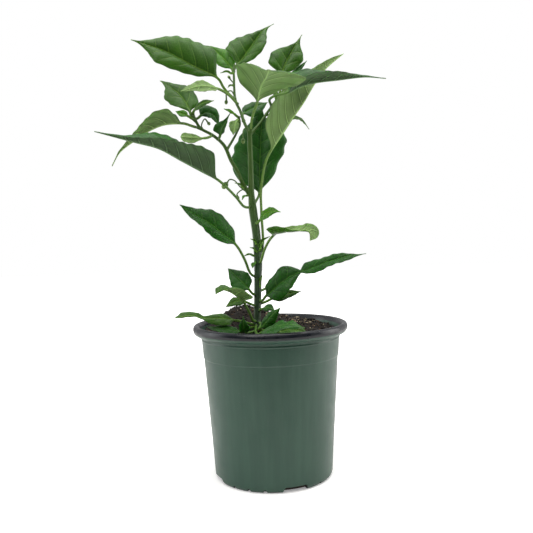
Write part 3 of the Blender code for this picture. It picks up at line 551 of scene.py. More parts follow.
hole = ring(STEM_HOLE_RADIUS, STEM_PLACE)
edge = ring(SOIL_EDGE_RADIUS)
rings = [np.column_stack([hole, np.full(SOIL_SIDES, SOIL_LEVEL - STEM_HOLE_DEPTH)])]
for share in np.linspace(0, 1, SOIL_RINGS):
    flat = (1 - share) * hole + share * edge
    rings.append(np.array([(x, y, soil_height(x, y)) for x, y in flat]))
for height in (SOIL_LEVEL - SOIL_EDGE_DROP, BAND_FOOT_HEIGHT, POT_FLOOR + SOIL_GAP):
    rings.append(np.column_stack([ring(inside_radius(height) - SOIL_GAP), np.full(SOIL_SIDES, height)]))

bm = bmesh.new()
loops = [[bm.verts.new(point) for point in points] for points in rings]
for before, after in zip(loops, loops[1:]):
    for i in range(SOIL_SIDES):
        j = (i + 1) % SOIL_SIDES
        bm.faces.new((before[i], before[j], after[j], after[i]))
bm.faces.new(loops[0])
bm.faces.new(loops[-1])
soil = object_from(bm, "potting_soil")
soil.data.materials.append(peat)
print("soil top from", round(min(p[2] for p in rings[SOIL_RINGS]), 1), "mm at the edge")

# %% [markdown]
# Crumbs, bark and perlite
#
# Loose pieces lie on the surface, each one a small ball with its points pushed in and out at
# random, then flattened and turned. Crumbs of peat are everywhere. Perlite has gathered to
# the right of the stem and behind it, and a few slivers of bark stick out.

# %% Strew the loose pieces
Scatter = namedtuple("Scatter", "material count sizes stretch middle spread")
SCATTERS = (
    Scatter(peat, 1050, (0.5, 1.9), (1.0, 0.8, 0.75), (0, 0), 80),
    Scatter(bark, 170, (0.8, 2.2), (1.8, 0.6, 0.3), (0, 0), 80),
    Scatter(perlite, 110, (0.4, 1.15), (1.0, 0.9, 0.75), (28, 38), 20),
    Scatter(perlite, 55, (0.3, 1.0), (1.0, 0.9, 0.75), (0, 0), 80),
)
CRUMB_ROUGHNESS = 0.22
STEM_ROOM = 6.5

rng = np.random.default_rng(11)
bm = bmesh.new()
bmesh.ops.create_icosphere(bm, subdivisions=2, radius=1.0)
ball = np.array([vert.co[:] for vert in bm.verts])
ball_faces = np.array([[vert.index for vert in face.verts] for face in bm.faces])
bm.free()


def crumb(size, stretch):
    """The points of one rough crumb round its own middle."""
    points = ball * (1 + CRUMB_ROUGHNESS * rng.uniform(-1, 1, (len(ball), 1)))
    points = points * np.array(stretch) * size
    spin = Euler(rng.uniform(-0.5, 0.5, 2).tolist() + [rng.uniform(0, math.tau)]).to_matrix()
    return points @ np.array(spin).T


def scattered_place(scatter):
    """A random place on the soil, near the scatter's middle and clear of the stem and the wall."""
    while True:
        x, y = rng.normal(scatter.middle, scatter.spread)
        clear_of_stem = math.hypot(x - STEM_PLACE[0], y - STEM_PLACE[1]) > STEM_ROOM
        if clear_of_stem and math.hypot(x, y) < SOIL_EDGE_RADIUS - 2.5:
            return x, y


points, faces, kinds = [], [], []
for scatter in SCATTERS:
    for _ in range(scatter.count):
        x, y = scattered_place(scatter)
        size = scatter.sizes[0] + (scatter.sizes[1] - scatter.sizes[0]) * rng.random() ** 2
        middle = (x, y, soil_height(x, y) + 0.35 * size * scatter.stretch[2])
        faces.append(ball_faces + len(points) * len(ball))
        points.append(crumb(size, scatter.stretch) + middle)
        kinds += [scatter.material] * len(ball_faces)
finishes = [peat, bark, perlite]
mesh = bpy.data.meshes.new("crumbs")
mesh.from_pydata((np.concatenate(points) * MM).tolist(), [], np.concatenate(faces).tolist())
for finish in finishes:
    mesh.materials.append(finish)
mesh.polygons.foreach_set("material_index", [finishes.index(kind) for kind in kinds])
crumbs = link(bpy.data.objects.new("crumbs", mesh))


def join(target, *others):
    """Makes several objects one, under the first one's name."""
    with bpy.context.temp_override(active_object=target, selected_editable_objects=[target, *others]):
        bpy.ops.object.join()


join(soil, crumbs)
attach(soil, "root")
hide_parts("soil")
print("loose pieces on the soil:", sum(scatter.count for scatter in SCATTERS))

# %% [markdown]
# Lines through space
#
# Branches, stalks and the middle lines of leaves are all smooth curves through a few points.
# A curve is read by the distance along it. A direction that points sideways from the line is
# carried along it without twisting, so that a leaf's two halves follow the bends of its rib.


# %% Smooth lines and carried directions
def unit(vector):
    vector = np.asarray(vector, float)
    return vector / np.linalg.norm(vector, axis=-1, keepdims=True)


def smooth_curve(points, per_span=24):
    """Points close together on a centripetal Catmull-Rom curve through the given ones."""
    points = [np.asarray(p, float) for p in points]
    ends = [2 * points[0] - points[1]] + points + [2 * points[-1] - points[-2]]
    line = []
    for a, b, c, d in zip(ends, ends[1:], ends[2:], ends[3:]):
        t0 = 0.0
        t1 = t0 + np.linalg.norm(b - a) ** 0.5
        t2 = t1 + np.linalg.norm(c - b) ** 0.5
        t3 = t2 + np.linalg.norm(d - c) ** 0.5
        for t in np.linspace(t1, t2, per_span, endpoint=False):
            ab = (t1 - t) / (t1 - t0) * a + (t - t0) / (t1 - t0) * b
            bc = (t2 - t) / (t2 - t1) * b + (t - t1) / (t2 - t1) * c
            cd = (t3 - t) / (t3 - t2) * c + (t - t2) / (t3 - t2) * d
            abc = (t2 - t) / (t2 - t0) * ab + (t - t0) / (t2 - t0) * bc
            bcd = (t3 - t) / (t3 - t1) * bc + (t - t1) / (t3 - t1) * cd
            line.append((t2 - t) / (t2 - t1) * abc + (t - t1) / (t2 - t1) * bcd)
    line.append(points[-1])
    return np.array(line)


class Path:
    """A smooth line that can be read by the distance along it."""

    def __init__(self, points):
        self.line = smooth_curve(points)
        steps = np.linalg.norm(np.diff(self.line, axis=0), axis=1)
        self.along = np.concatenate([[0.0], np.cumsum(steps)])
        self.length = self.along[-1]
        self.slopes = np.gradient(self.line, self.along, axis=0)

    def read(self, values, distances):
        return np.stack([np.interp(distances, self.along, values[:, k]) for k in range(3)], axis=-1)

    def at(self, distances):
        return self.read(self.line, distances)

    def directions(self, distances):
        return unit(self.read(self.slopes, distances))

    def distance_to(self, point):
        return self.along[np.argmin(np.linalg.norm(self.line - np.asarray(point, float), axis=1))]


def carried(vector, directions, given_at):
    """The vector at every direction of a line, from the one place where it is given."""
    vectors = np.zeros_like(directions)
    vectors[given_at] = vector
    for order in (range(given_at + 1, len(directions)), range(given_at - 1, -1, -1)):
        before = given_at
        for now in order:
            axis = np.cross(directions[before], directions[now])
            turn = np.cross(axis, vectors[before])
            settle = np.cross(axis, turn) / (1 + directions[before] @ directions[now])
            vectors[now] = vectors[before] + turn + settle
            before = now
    return vectors


print("a line of 3 points is drawn with", len(smooth_curve([(0, 0, 0), (1, 0, 0), (2, 1, 0)])), "points")

# %% [markdown]
# The stem's table
#
# The trunk is woody at its foot and green above. It forks twice, and a third shoot leaves
# the left branch. Buds hang on thin curved stalks where branches fork, and the leaves that
# have only begun to grow sit close to the stem. Places are the same as in the plain model.

# %% Branches, buds and tiny leaves
# Stem: each branch is a line of (x, y, z, radius), lowest point first
BRANCHES = {
    "trunk": [
        (-14, 0, 120, 3.4),
        (-14, 0, 154, 3.8),
        (-12, 0, 203, 3.9),
        (-11, 0, 229, 4.3),
        (-12, 1, 257, 4.3),
        (-15, 1, 284, 4.4),
        (-16, 0, 300, 3.2),
        (-16, -1, 331, 2.8),
        (-16, -2, 366, 2.6),
    ],
    "left_branch": [
        (-16, 0, 296, 2.4),
        (-25, -2, 312, 2.3),
        (-30, -5, 324, 2.1),
        (-36, -8, 335, 2.0),
        (-43, -12, 351, 1.8),
        (-54, -16, 361, 1.6),
        (-66, -20, 368, 1.5),
        (-71, -22, 377, 1.4),
        (-73, -22, 383, 1.3),
    ],
    "side_shoot": [
        (-40, -11, 346, 1.5),
        (-33, -6, 358, 1.3),
        (-29, -2, 366, 1.2),
        (-26, 2, 374, 1.1),
        (-27, 4, 383, 0.9),
    ],
    "upper_left_branch": [
        (-16, -2, 363, 1.8),
        (-22, 0, 377, 1.6),
        (-25, 2, 387, 1.5),
        (-30, 3, 399, 1.5),
        (-31, 4, 412, 1.3),
        (-31, 5, 423, 1.3),
        (-31, 6, 432, 1.2),
        (-30, 7, 438, 1.1),
    ],
    "upper_right_branch": [
        (-16, -1, 362, 1.8),
        (-5, 6, 375, 1.5),
        (4, 12, 388, 1.4),
        (14, 18, 402, 1.3),
    ],
}

# Flower buds: the bud's stalk as points from the stem, the last one the bud's middle, and its size
BUDS = [
    ([(-65, -20, 369), (-64, -21, 373), (-61, -21, 377), (-57, -22, 372)], (1.9, 1.6)),
    ([(-31, 4, 404), (-34, 2, 409), (-39, 4, 408), (-40, 5, 398)], (2.4, 1.7)),
    ([(-31, 4, 417), (-34, 1, 420), (-36, 0, 423)], (1.8, 1.4)),
    ([(-19, -1, 370), (-22, -7, 367), (-23, -9, 362), (-23, -9, 355)], (3.0, 2.0)),
    ([(-19, -1, 301), (-27, -9, 307), (-33, -12, 314), (-38, -15, 315), (-43, -15, 309)], (4.2, 2.8)),
    ([(-22, -2, 306), (-27, -5, 304), (-31, -8, 300), (-30, -9, 296)], (2.2, 1.5)),
]

# Tiny leaves that have only begun to grow: base, tip, half width
LEAFLETS = [
    ((-11, -2, 246), (-18, -9, 253), 2.2),
    ((-10, -2, 243), (2, -9, 255), 3.2),
    ((-12, -3, 239), (-19, -9, 244), 2.0),
    ((-9, -3, 240), (-6, -11, 249), 2.8),
    ((-13, -1, 235), (-26, -6, 235), 2.6),
    ((-13, -2, 229), (-17, -7, 222), 3.0),
    ((-11, -1, 199), (-7, -8, 214), 2.6),
    ((-31, 5, 428), (-45, 2, 428), 2.4),
    ((-31, 4, 416), (-38, 8, 414), 1.6),
    ((-23, -2, 306), (-33, -7, 312), 2.0),
    ((-19, -1, 300), (-26, -8, 294), 2.2),
    ((14, 18, 401), (9, 12, 408), 2.2),
    ((14, 18, 401), (13, 15, 412), 2.0),
]

print("branches:", len(BRANCHES), "buds:", len(BUDS), "tiny leaves:", len(LEAFLETS))

# %% [markdown]
# The stem's skin
#
# The foot of the trunk is greyish green and ribbed, and turns to a fresh yellowish green
# higher up. Fine streaks run along it. The buds' petals, still folded, are paler.


# %% Paint the stem and the buds
STEM_OLD_TOP, STEM_YOUNG_FOOT = 0.19, 0.33


def paint_stem(nodes):
    place = nodes.add("TexCoord", out=3)
    height = nodes.add("SeparateXYZ", {"Vector": place}).node.outputs["Z"]
    streaks = nodes.noise(1.0, 4.0, nodes.stretched(520.0, 520.0, 40.0), 0.6)
    young = nodes.smooth(height, STEM_OLD_TOP, STEM_YOUNG_FOOT)
    color = nodes.mix(young, (0.022, 0.050, 0.022), (0.055, 0.130, 0.014))
    color = nodes.mix(nodes.smooth(streaks, 0.5, 0.72, 0.0, 0.6), color, (0.12, 0.20, 0.055))
    color = nodes.mix(nodes.smooth(streaks, 0.42, 0.25, 0.0, 0.6), color, (0.012, 0.03, 0.010))
    return {"Base Color": color, "Normal": nodes.bump(streaks, 0.0004, 0.6)}


def paint_petals(nodes):
    color = nodes.mix(nodes.noise(700.0), (0.10, 0.21, 0.03), (0.26, 0.38, 0.10))
    return {"Base Color": color}


stem_skin = new_material("stem_skin", paint_stem, Roughness=0.5)
bud_petals = new_material("bud_petals", paint_petals, Roughness=0.55)
print("stem finishes:", stem_skin.name, bud_petals.name)

# %% [markdown]
# Tubes
#
# Every branch is a round tube whose width follows the table. The trunk gets low ribs. Buds
# are tubes as well: a thin stalk, a ribbed cup of sepals and a dome of folded petals.


# %% Draw tubes
def tube_mesh(name, places, sides, ribs=0, rib_depth=0.0):
    """A closed tube through (x, y, z, radius) places that already lie close together."""
    places = np.asarray(places, float)
    steps = unit(np.gradient(places[:, :3], axis=0))
    across = carried(unit(np.cross(steps[0], (0.3, 1.0, 0.2))), steps, 0)
    up = np.cross(across, steps)
    angles = np.linspace(0, math.tau, sides, endpoint=False)
    swell = 1 + rib_depth * np.cos(ribs * angles)
    around = across[:, None] * np.cos(angles)[:, None] + up[:, None] * np.sin(angles)[:, None]
    points = places[:, None, :3] + around * (places[:, 3:] * swell)[..., None]
    count = len(places)
    numbers = np.arange(count * sides).reshape(count, sides)
    after = np.roll(numbers, -1, axis=1)
    quads = np.stack([numbers[:-1], after[:-1], after[1:], numbers[1:]], axis=-1)
    faces = quads.reshape(-1, 4).tolist()
    faces += [numbers[0][::-1].tolist(), numbers[-1].tolist()]
    mesh = bpy.data.meshes.new(name)
    mesh.from_pydata((points.reshape(-1, 3) * MM).tolist(), [], faces)
    mesh.shade_smooth()
    return link(bpy.data.objects.new(name, mesh))


def fine_line(points, step):
    """(x, y, z, radius) places every step along a smooth line through a few of them."""
    path = Path([p[:3] for p in points])
    knots = [path.distance_to(p[:3]) for p in points]
    distances = np.linspace(0, path.length, max(4, round(path.length / step)))
    radii = np.interp(distances, knots, [p[3] for p in points])
    return np.column_stack([path.at(distances), radii])


BRANCH_STEP = 1.0
STEM_SIDES = 24
branch_lines = {name: fine_line(points, BRANCH_STEP) for name, points in BRANCHES.items()}
stem_line = np.concatenate(list(branch_lines.values()))
stem_tubes = [
    tube_mesh(name, line, STEM_SIDES, 6, 0.06 if name == "trunk" else 0.03)
    for name, line in branch_lines.items()
]
print("branches:", len(stem_tubes), "with", len(stem_line), "places in all")


# %% Draw the buds
BUD_STALK_RADIUS = 0.65
BUD_RIBS = 6


def bud_mesh(points, size):
    """A curved stalk with a cup of sepals and a dome of petals."""
    length, radius = size
    line = [np.asarray(p, float) for p in points]
    out = unit(line[-1] - line[-2])
    stalk = fine_line([(*p, BUD_STALK_RADIUS) for p in line[:-1]] + [(*(line[-1] - out * length), 0.9)], 0.6)
    heights = np.linspace(-1, 1, 15)
    widths = radius * (1 - np.abs(heights) ** 2.4) ** 0.55
    widths[0] = 0.9
    cup = [(*(line[-1] + out * length * h), max(w, 0.15)) for h, w in zip(heights, widths)]
    sepals = [(x, y, z, w * 1.06) for x, y, z, w in cup[:9]]
    sepals += [(*(line[-1] + out * length * 0.2), widths[8] * 0.85)]
    stalk_tube = tube_mesh("bud_stalk", stalk, 12)
    petals = tube_mesh("bud_petals", cup[5:], 18, BUD_RIBS, 0.05)
    sepal_cup = tube_mesh("bud_sepals", sepals, 18, BUD_RIBS, 0.07)
    for piece, material in ((stalk_tube, stem_skin), (petals, bud_petals), (sepal_cup, stem_skin)):
        piece.data.materials.append(material)
    return [stalk_tube, petals, sepal_cup]


bud_pieces = [piece for bud in BUDS for piece in bud_mesh(*bud)]
print("buds:", len(BUDS))

# %% [markdown]
# Leaf colours
#
# A full-grown pepper leaf is deep green and glossy above, and pale and dull below. Older
# leaves are darker, and new ones are bright yellow-green. The dark tone is also painted shade:
# it is given to leaves that sit in the shadow of others. The midrib and the veins that leave it
# are lighter than the blade. The blade right beside them is darker, a painted shade, and between
# them it is lighter, a painted sheen. Each leaf keeps two maps for this. The first says how far
# across and along the blade a point is.
# The second says how many millimetres it is from the midrib, and counts the side veins.

# %% Leaf tones
Tone = namedtuple("Tone", "blade shade under vein")
# The dark tone is partly the darker green of older leaves and partly painted shade, for leaves in the shadow of others.
TONES = {
    "mature": Tone((0.046, 0.140, 0.010), (0.018, 0.070, 0.004), (0.230, 0.370, 0.120), (0.17, 0.32, 0.045)),
    "dark": Tone((0.018, 0.105, 0.008), (0.008, 0.055, 0.004), (0.110, 0.190, 0.085), (0.08, 0.22, 0.03)),
    "young": Tone((0.060, 0.210, 0.006), (0.035, 0.140, 0.003), (0.120, 0.260, 0.035), (0.15, 0.33, 0.03)),
}
STALK_GREEN = (0.10, 0.21, 0.025)


def vein_masks(nodes):
    """How strongly the midrib, the side veins, the net of small veins and the stalk show, and how far from the painted
    shade beside the side veins a point is.
    """
    across, share = nodes.uv("blade")
    from_rib, count = nodes.uv("veins")
    across = nodes.math("ABSOLUTE", across)
    from_rib = nodes.math("ABSOLUTE", from_rib)
    rib_half = nodes.math("MULTIPLY_ADD", share, -0.65, 0.95)
    rib = nodes.math("SUBTRACT", 1.0, nodes.smooth(nodes.math("DIVIDE", from_rib, rib_half), 0.55, 1.15))
    beside = nodes.math("ABSOLUTE", nodes.math("SUBTRACT", nodes.math("FRACT", count), 0.5))
    thin = nodes.math("MULTIPLY_ADD", across, -0.035, 0.06)
    side_vein = nodes.math("SUBTRACT", 1.0, nodes.smooth(nodes.math("DIVIDE", beside, thin), 0.4, 1.3))
    fade = nodes.smooth(across, 0.95, 0.35, 0.15, 1.0)
    side_vein = nodes.math("MULTIPLY", side_vein, fade)
    # 0 right beside a side vein and 1 between the veins: it places the painted shade beside the veins.
    clear_of_vein_shade = nodes.smooth(beside, 0.05, 0.25)
    cells = nodes.add(
        "TexVoronoi",
        {"Vector": nodes.add("TexCoord", out=3), "Scale": 420.0},
        feature="DISTANCE_TO_EDGE",
    )
    net = nodes.smooth(cells, 0.09, 0.02)
    stalk = nodes.smooth(share, 0.07, 0.0)
    return rib, side_vein, clear_of_vein_shade, net, stalk


def paint_upper(tone):
    def paint(nodes):
        rib, side_vein, clear_of_vein_shade, net, stalk = vein_masks(nodes)
        patches = nodes.noise(38.0, 3.0)
        color = nodes.mix(nodes.smooth(patches, 0.3, 0.7), tone.shade, tone.blade)
        # Painted light: between the side veins the blade is pulled towards its lighter green, a painted sheen, so right
        # beside the veins it keeps more of the darker shade green, a painted shade.
        color = nodes.mix(nodes.math("MULTIPLY", clear_of_vein_shade, 0.45), color, tone.blade)
        color = nodes.mix(nodes.math("MULTIPLY", net, 0.16), color, tone.vein)
        color = nodes.mix(nodes.math("MULTIPLY", side_vein, 0.4), color, tone.vein)
        color = nodes.mix(nodes.math("MULTIPLY", rib, 0.7), color, tone.vein)
        color = nodes.mix(nodes.math("MULTIPLY", stalk, 0.8), color, STALK_GREEN)
        relief = nodes.math("MULTIPLY_ADD", net, -0.4, nodes.math("MULTIPLY", side_vein, -1.0))
        relief = nodes.math("MULTIPLY_ADD", nodes.noise(900.0, 2.0), 0.5, relief)
        roughness = nodes.smooth(nodes.noise(120.0), 0.3, 0.7, 0.34, 0.46)
        return {"Base Color": color, "Roughness": roughness, "Normal": nodes.bump(relief, 0.00022, 0.7)}

    return paint


def paint_under(tone):
    def paint(nodes):
        rib, side_vein, clear_of_vein_shade, net, stalk = vein_masks(nodes)
        patches = nodes.noise(45.0, 3.0)
        dimmed = tuple(0.8 * value for value in tone.under)
        dark = tuple(0.5 * value for value in tone.under)
        bright = tuple(min(1.7 * value, 0.6) for value in tone.under)
        color = nodes.mix(nodes.smooth(patches, 0.3, 0.7), dimmed, tone.under)
        color = nodes.mix(nodes.math("MULTIPLY", net, 0.2), color, dark)
        # Painted shade: the underside is darkened right beside the side veins.
        color = nodes.mix(nodes.math("MULTIPLY_ADD", clear_of_vein_shade, -0.7, 0.7), color, dark)
        color = nodes.mix(nodes.math("MULTIPLY", side_vein, 0.85), color, bright)
        color = nodes.mix(nodes.math("MULTIPLY", rib, 0.9), color, bright)
        color = nodes.mix(nodes.math("MULTIPLY", stalk, 0.7), color, STALK_GREEN)
        relief = nodes.math("MULTIPLY_ADD", net, 0.4, side_vein)
        return {"Base Color": color, "Normal": nodes.bump(relief, 0.0003, 0.8)}

    return paint


GLOW = {"Subsurface_Weight": 0.12, "Subsurface_Radius": (0.5, 1.0, 0.15), "Subsurface_Scale": 0.002}
leaf_upper, leaf_under = {}, {}
for name, tone in TONES.items():
    leaf_upper[name] = new_material(f"leaf_{name}_upper", paint_upper(tone), Specular_IOR_Level=0.28, **GLOW)
    leaf_under[name] = new_material(
        f"leaf_{name}_under", paint_under(tone), Roughness=0.6, Specular_IOR_Level=0.25, **GLOW
    )
print("leaf finishes:", len(leaf_upper) + len(leaf_under))

# %% [markdown]
# The table of leaves
#
# Every leaf was placed from the photograph: where its stalk leaves the stem, where
# its midrib runs, how far its two halves reach and which way they face. The outlines are
# shared among the leaves. These numbers are the same as in the plain model.

# %% Outlines and leaves
# Outlines of half a blade: its width at each of these shares of its length, as a share of
# its widest. Both ends of the blade are points.
WIDTH_SHARES = (0.05, 0.12, 0.22, 0.35, 0.5, 0.65, 0.8, 0.92)
OUTLINES = {
    "oval": (0.36, 0.64, 0.87, 1.0, 0.95, 0.75, 0.45, 0.17),
    "lance": (0.4, 0.72, 0.92, 1.0, 0.86, 0.6, 0.25, 0.07),
    "drip": (0.4, 0.72, 0.92, 1.0, 0.85, 0.58, 0.12, 0.03),
    "heart": (0.55, 0.92, 1.0, 0.93, 0.81, 0.6, 0.28, 0.06),
    "shoulder": (0.7, 0.95, 1.0, 0.98, 0.66, 0.28, 0.08, 0.03),
    "belly": (0.3, 0.5, 0.75, 0.92, 1.0, 0.72, 0.25, 0.05),
    "low_belly": (0.12, 0.28, 0.55, 0.7, 0.92, 1.0, 0.45, 0.07),
    "corner": (0.22, 0.42, 0.62, 0.82, 1.0, 0.5, 0.17, 0.04),
    "triangle": (0.58, 0.72, 0.87, 1.0, 0.75, 0.36, 0.1, 0.03),
    "near_base": (0.65, 0.94, 1.0, 0.83, 0.52, 0.27, 0.13, 0.05),
    "strap": (0.3, 0.65, 0.9, 1.0, 0.88, 0.6, 0.32, 0.16),
    "spoon": (0.12, 0.26, 0.45, 0.68, 0.88, 1.0, 0.95, 0.7),
    "blunt": (0.35, 0.6, 0.73, 0.85, 0.88, 1.0, 0.7, 0.33),
    "notched": (0.55, 0.95, 1.0, 0.75, 0.25, 0.8, 0.8, 0.35),
}

# Leaves. stalk and blade are points along the middle line, from the stem to the tip.
# left and right go from the midrib to the two edges at the widest place, as seen from
# above the leaf with its tip ahead. wave is the height of the edge's waves and their
# number, and bulge lifts each half between midrib and edge. outline names the form of
# the left half, and of the right half too unless right_outline names another.
Leaf = namedtuple(
    "Leaf",
    "stalk blade left right tone wave bulge outline right_outline",
    defaults=("mature", (1.2, 2), 0.12, "oval", None),
)

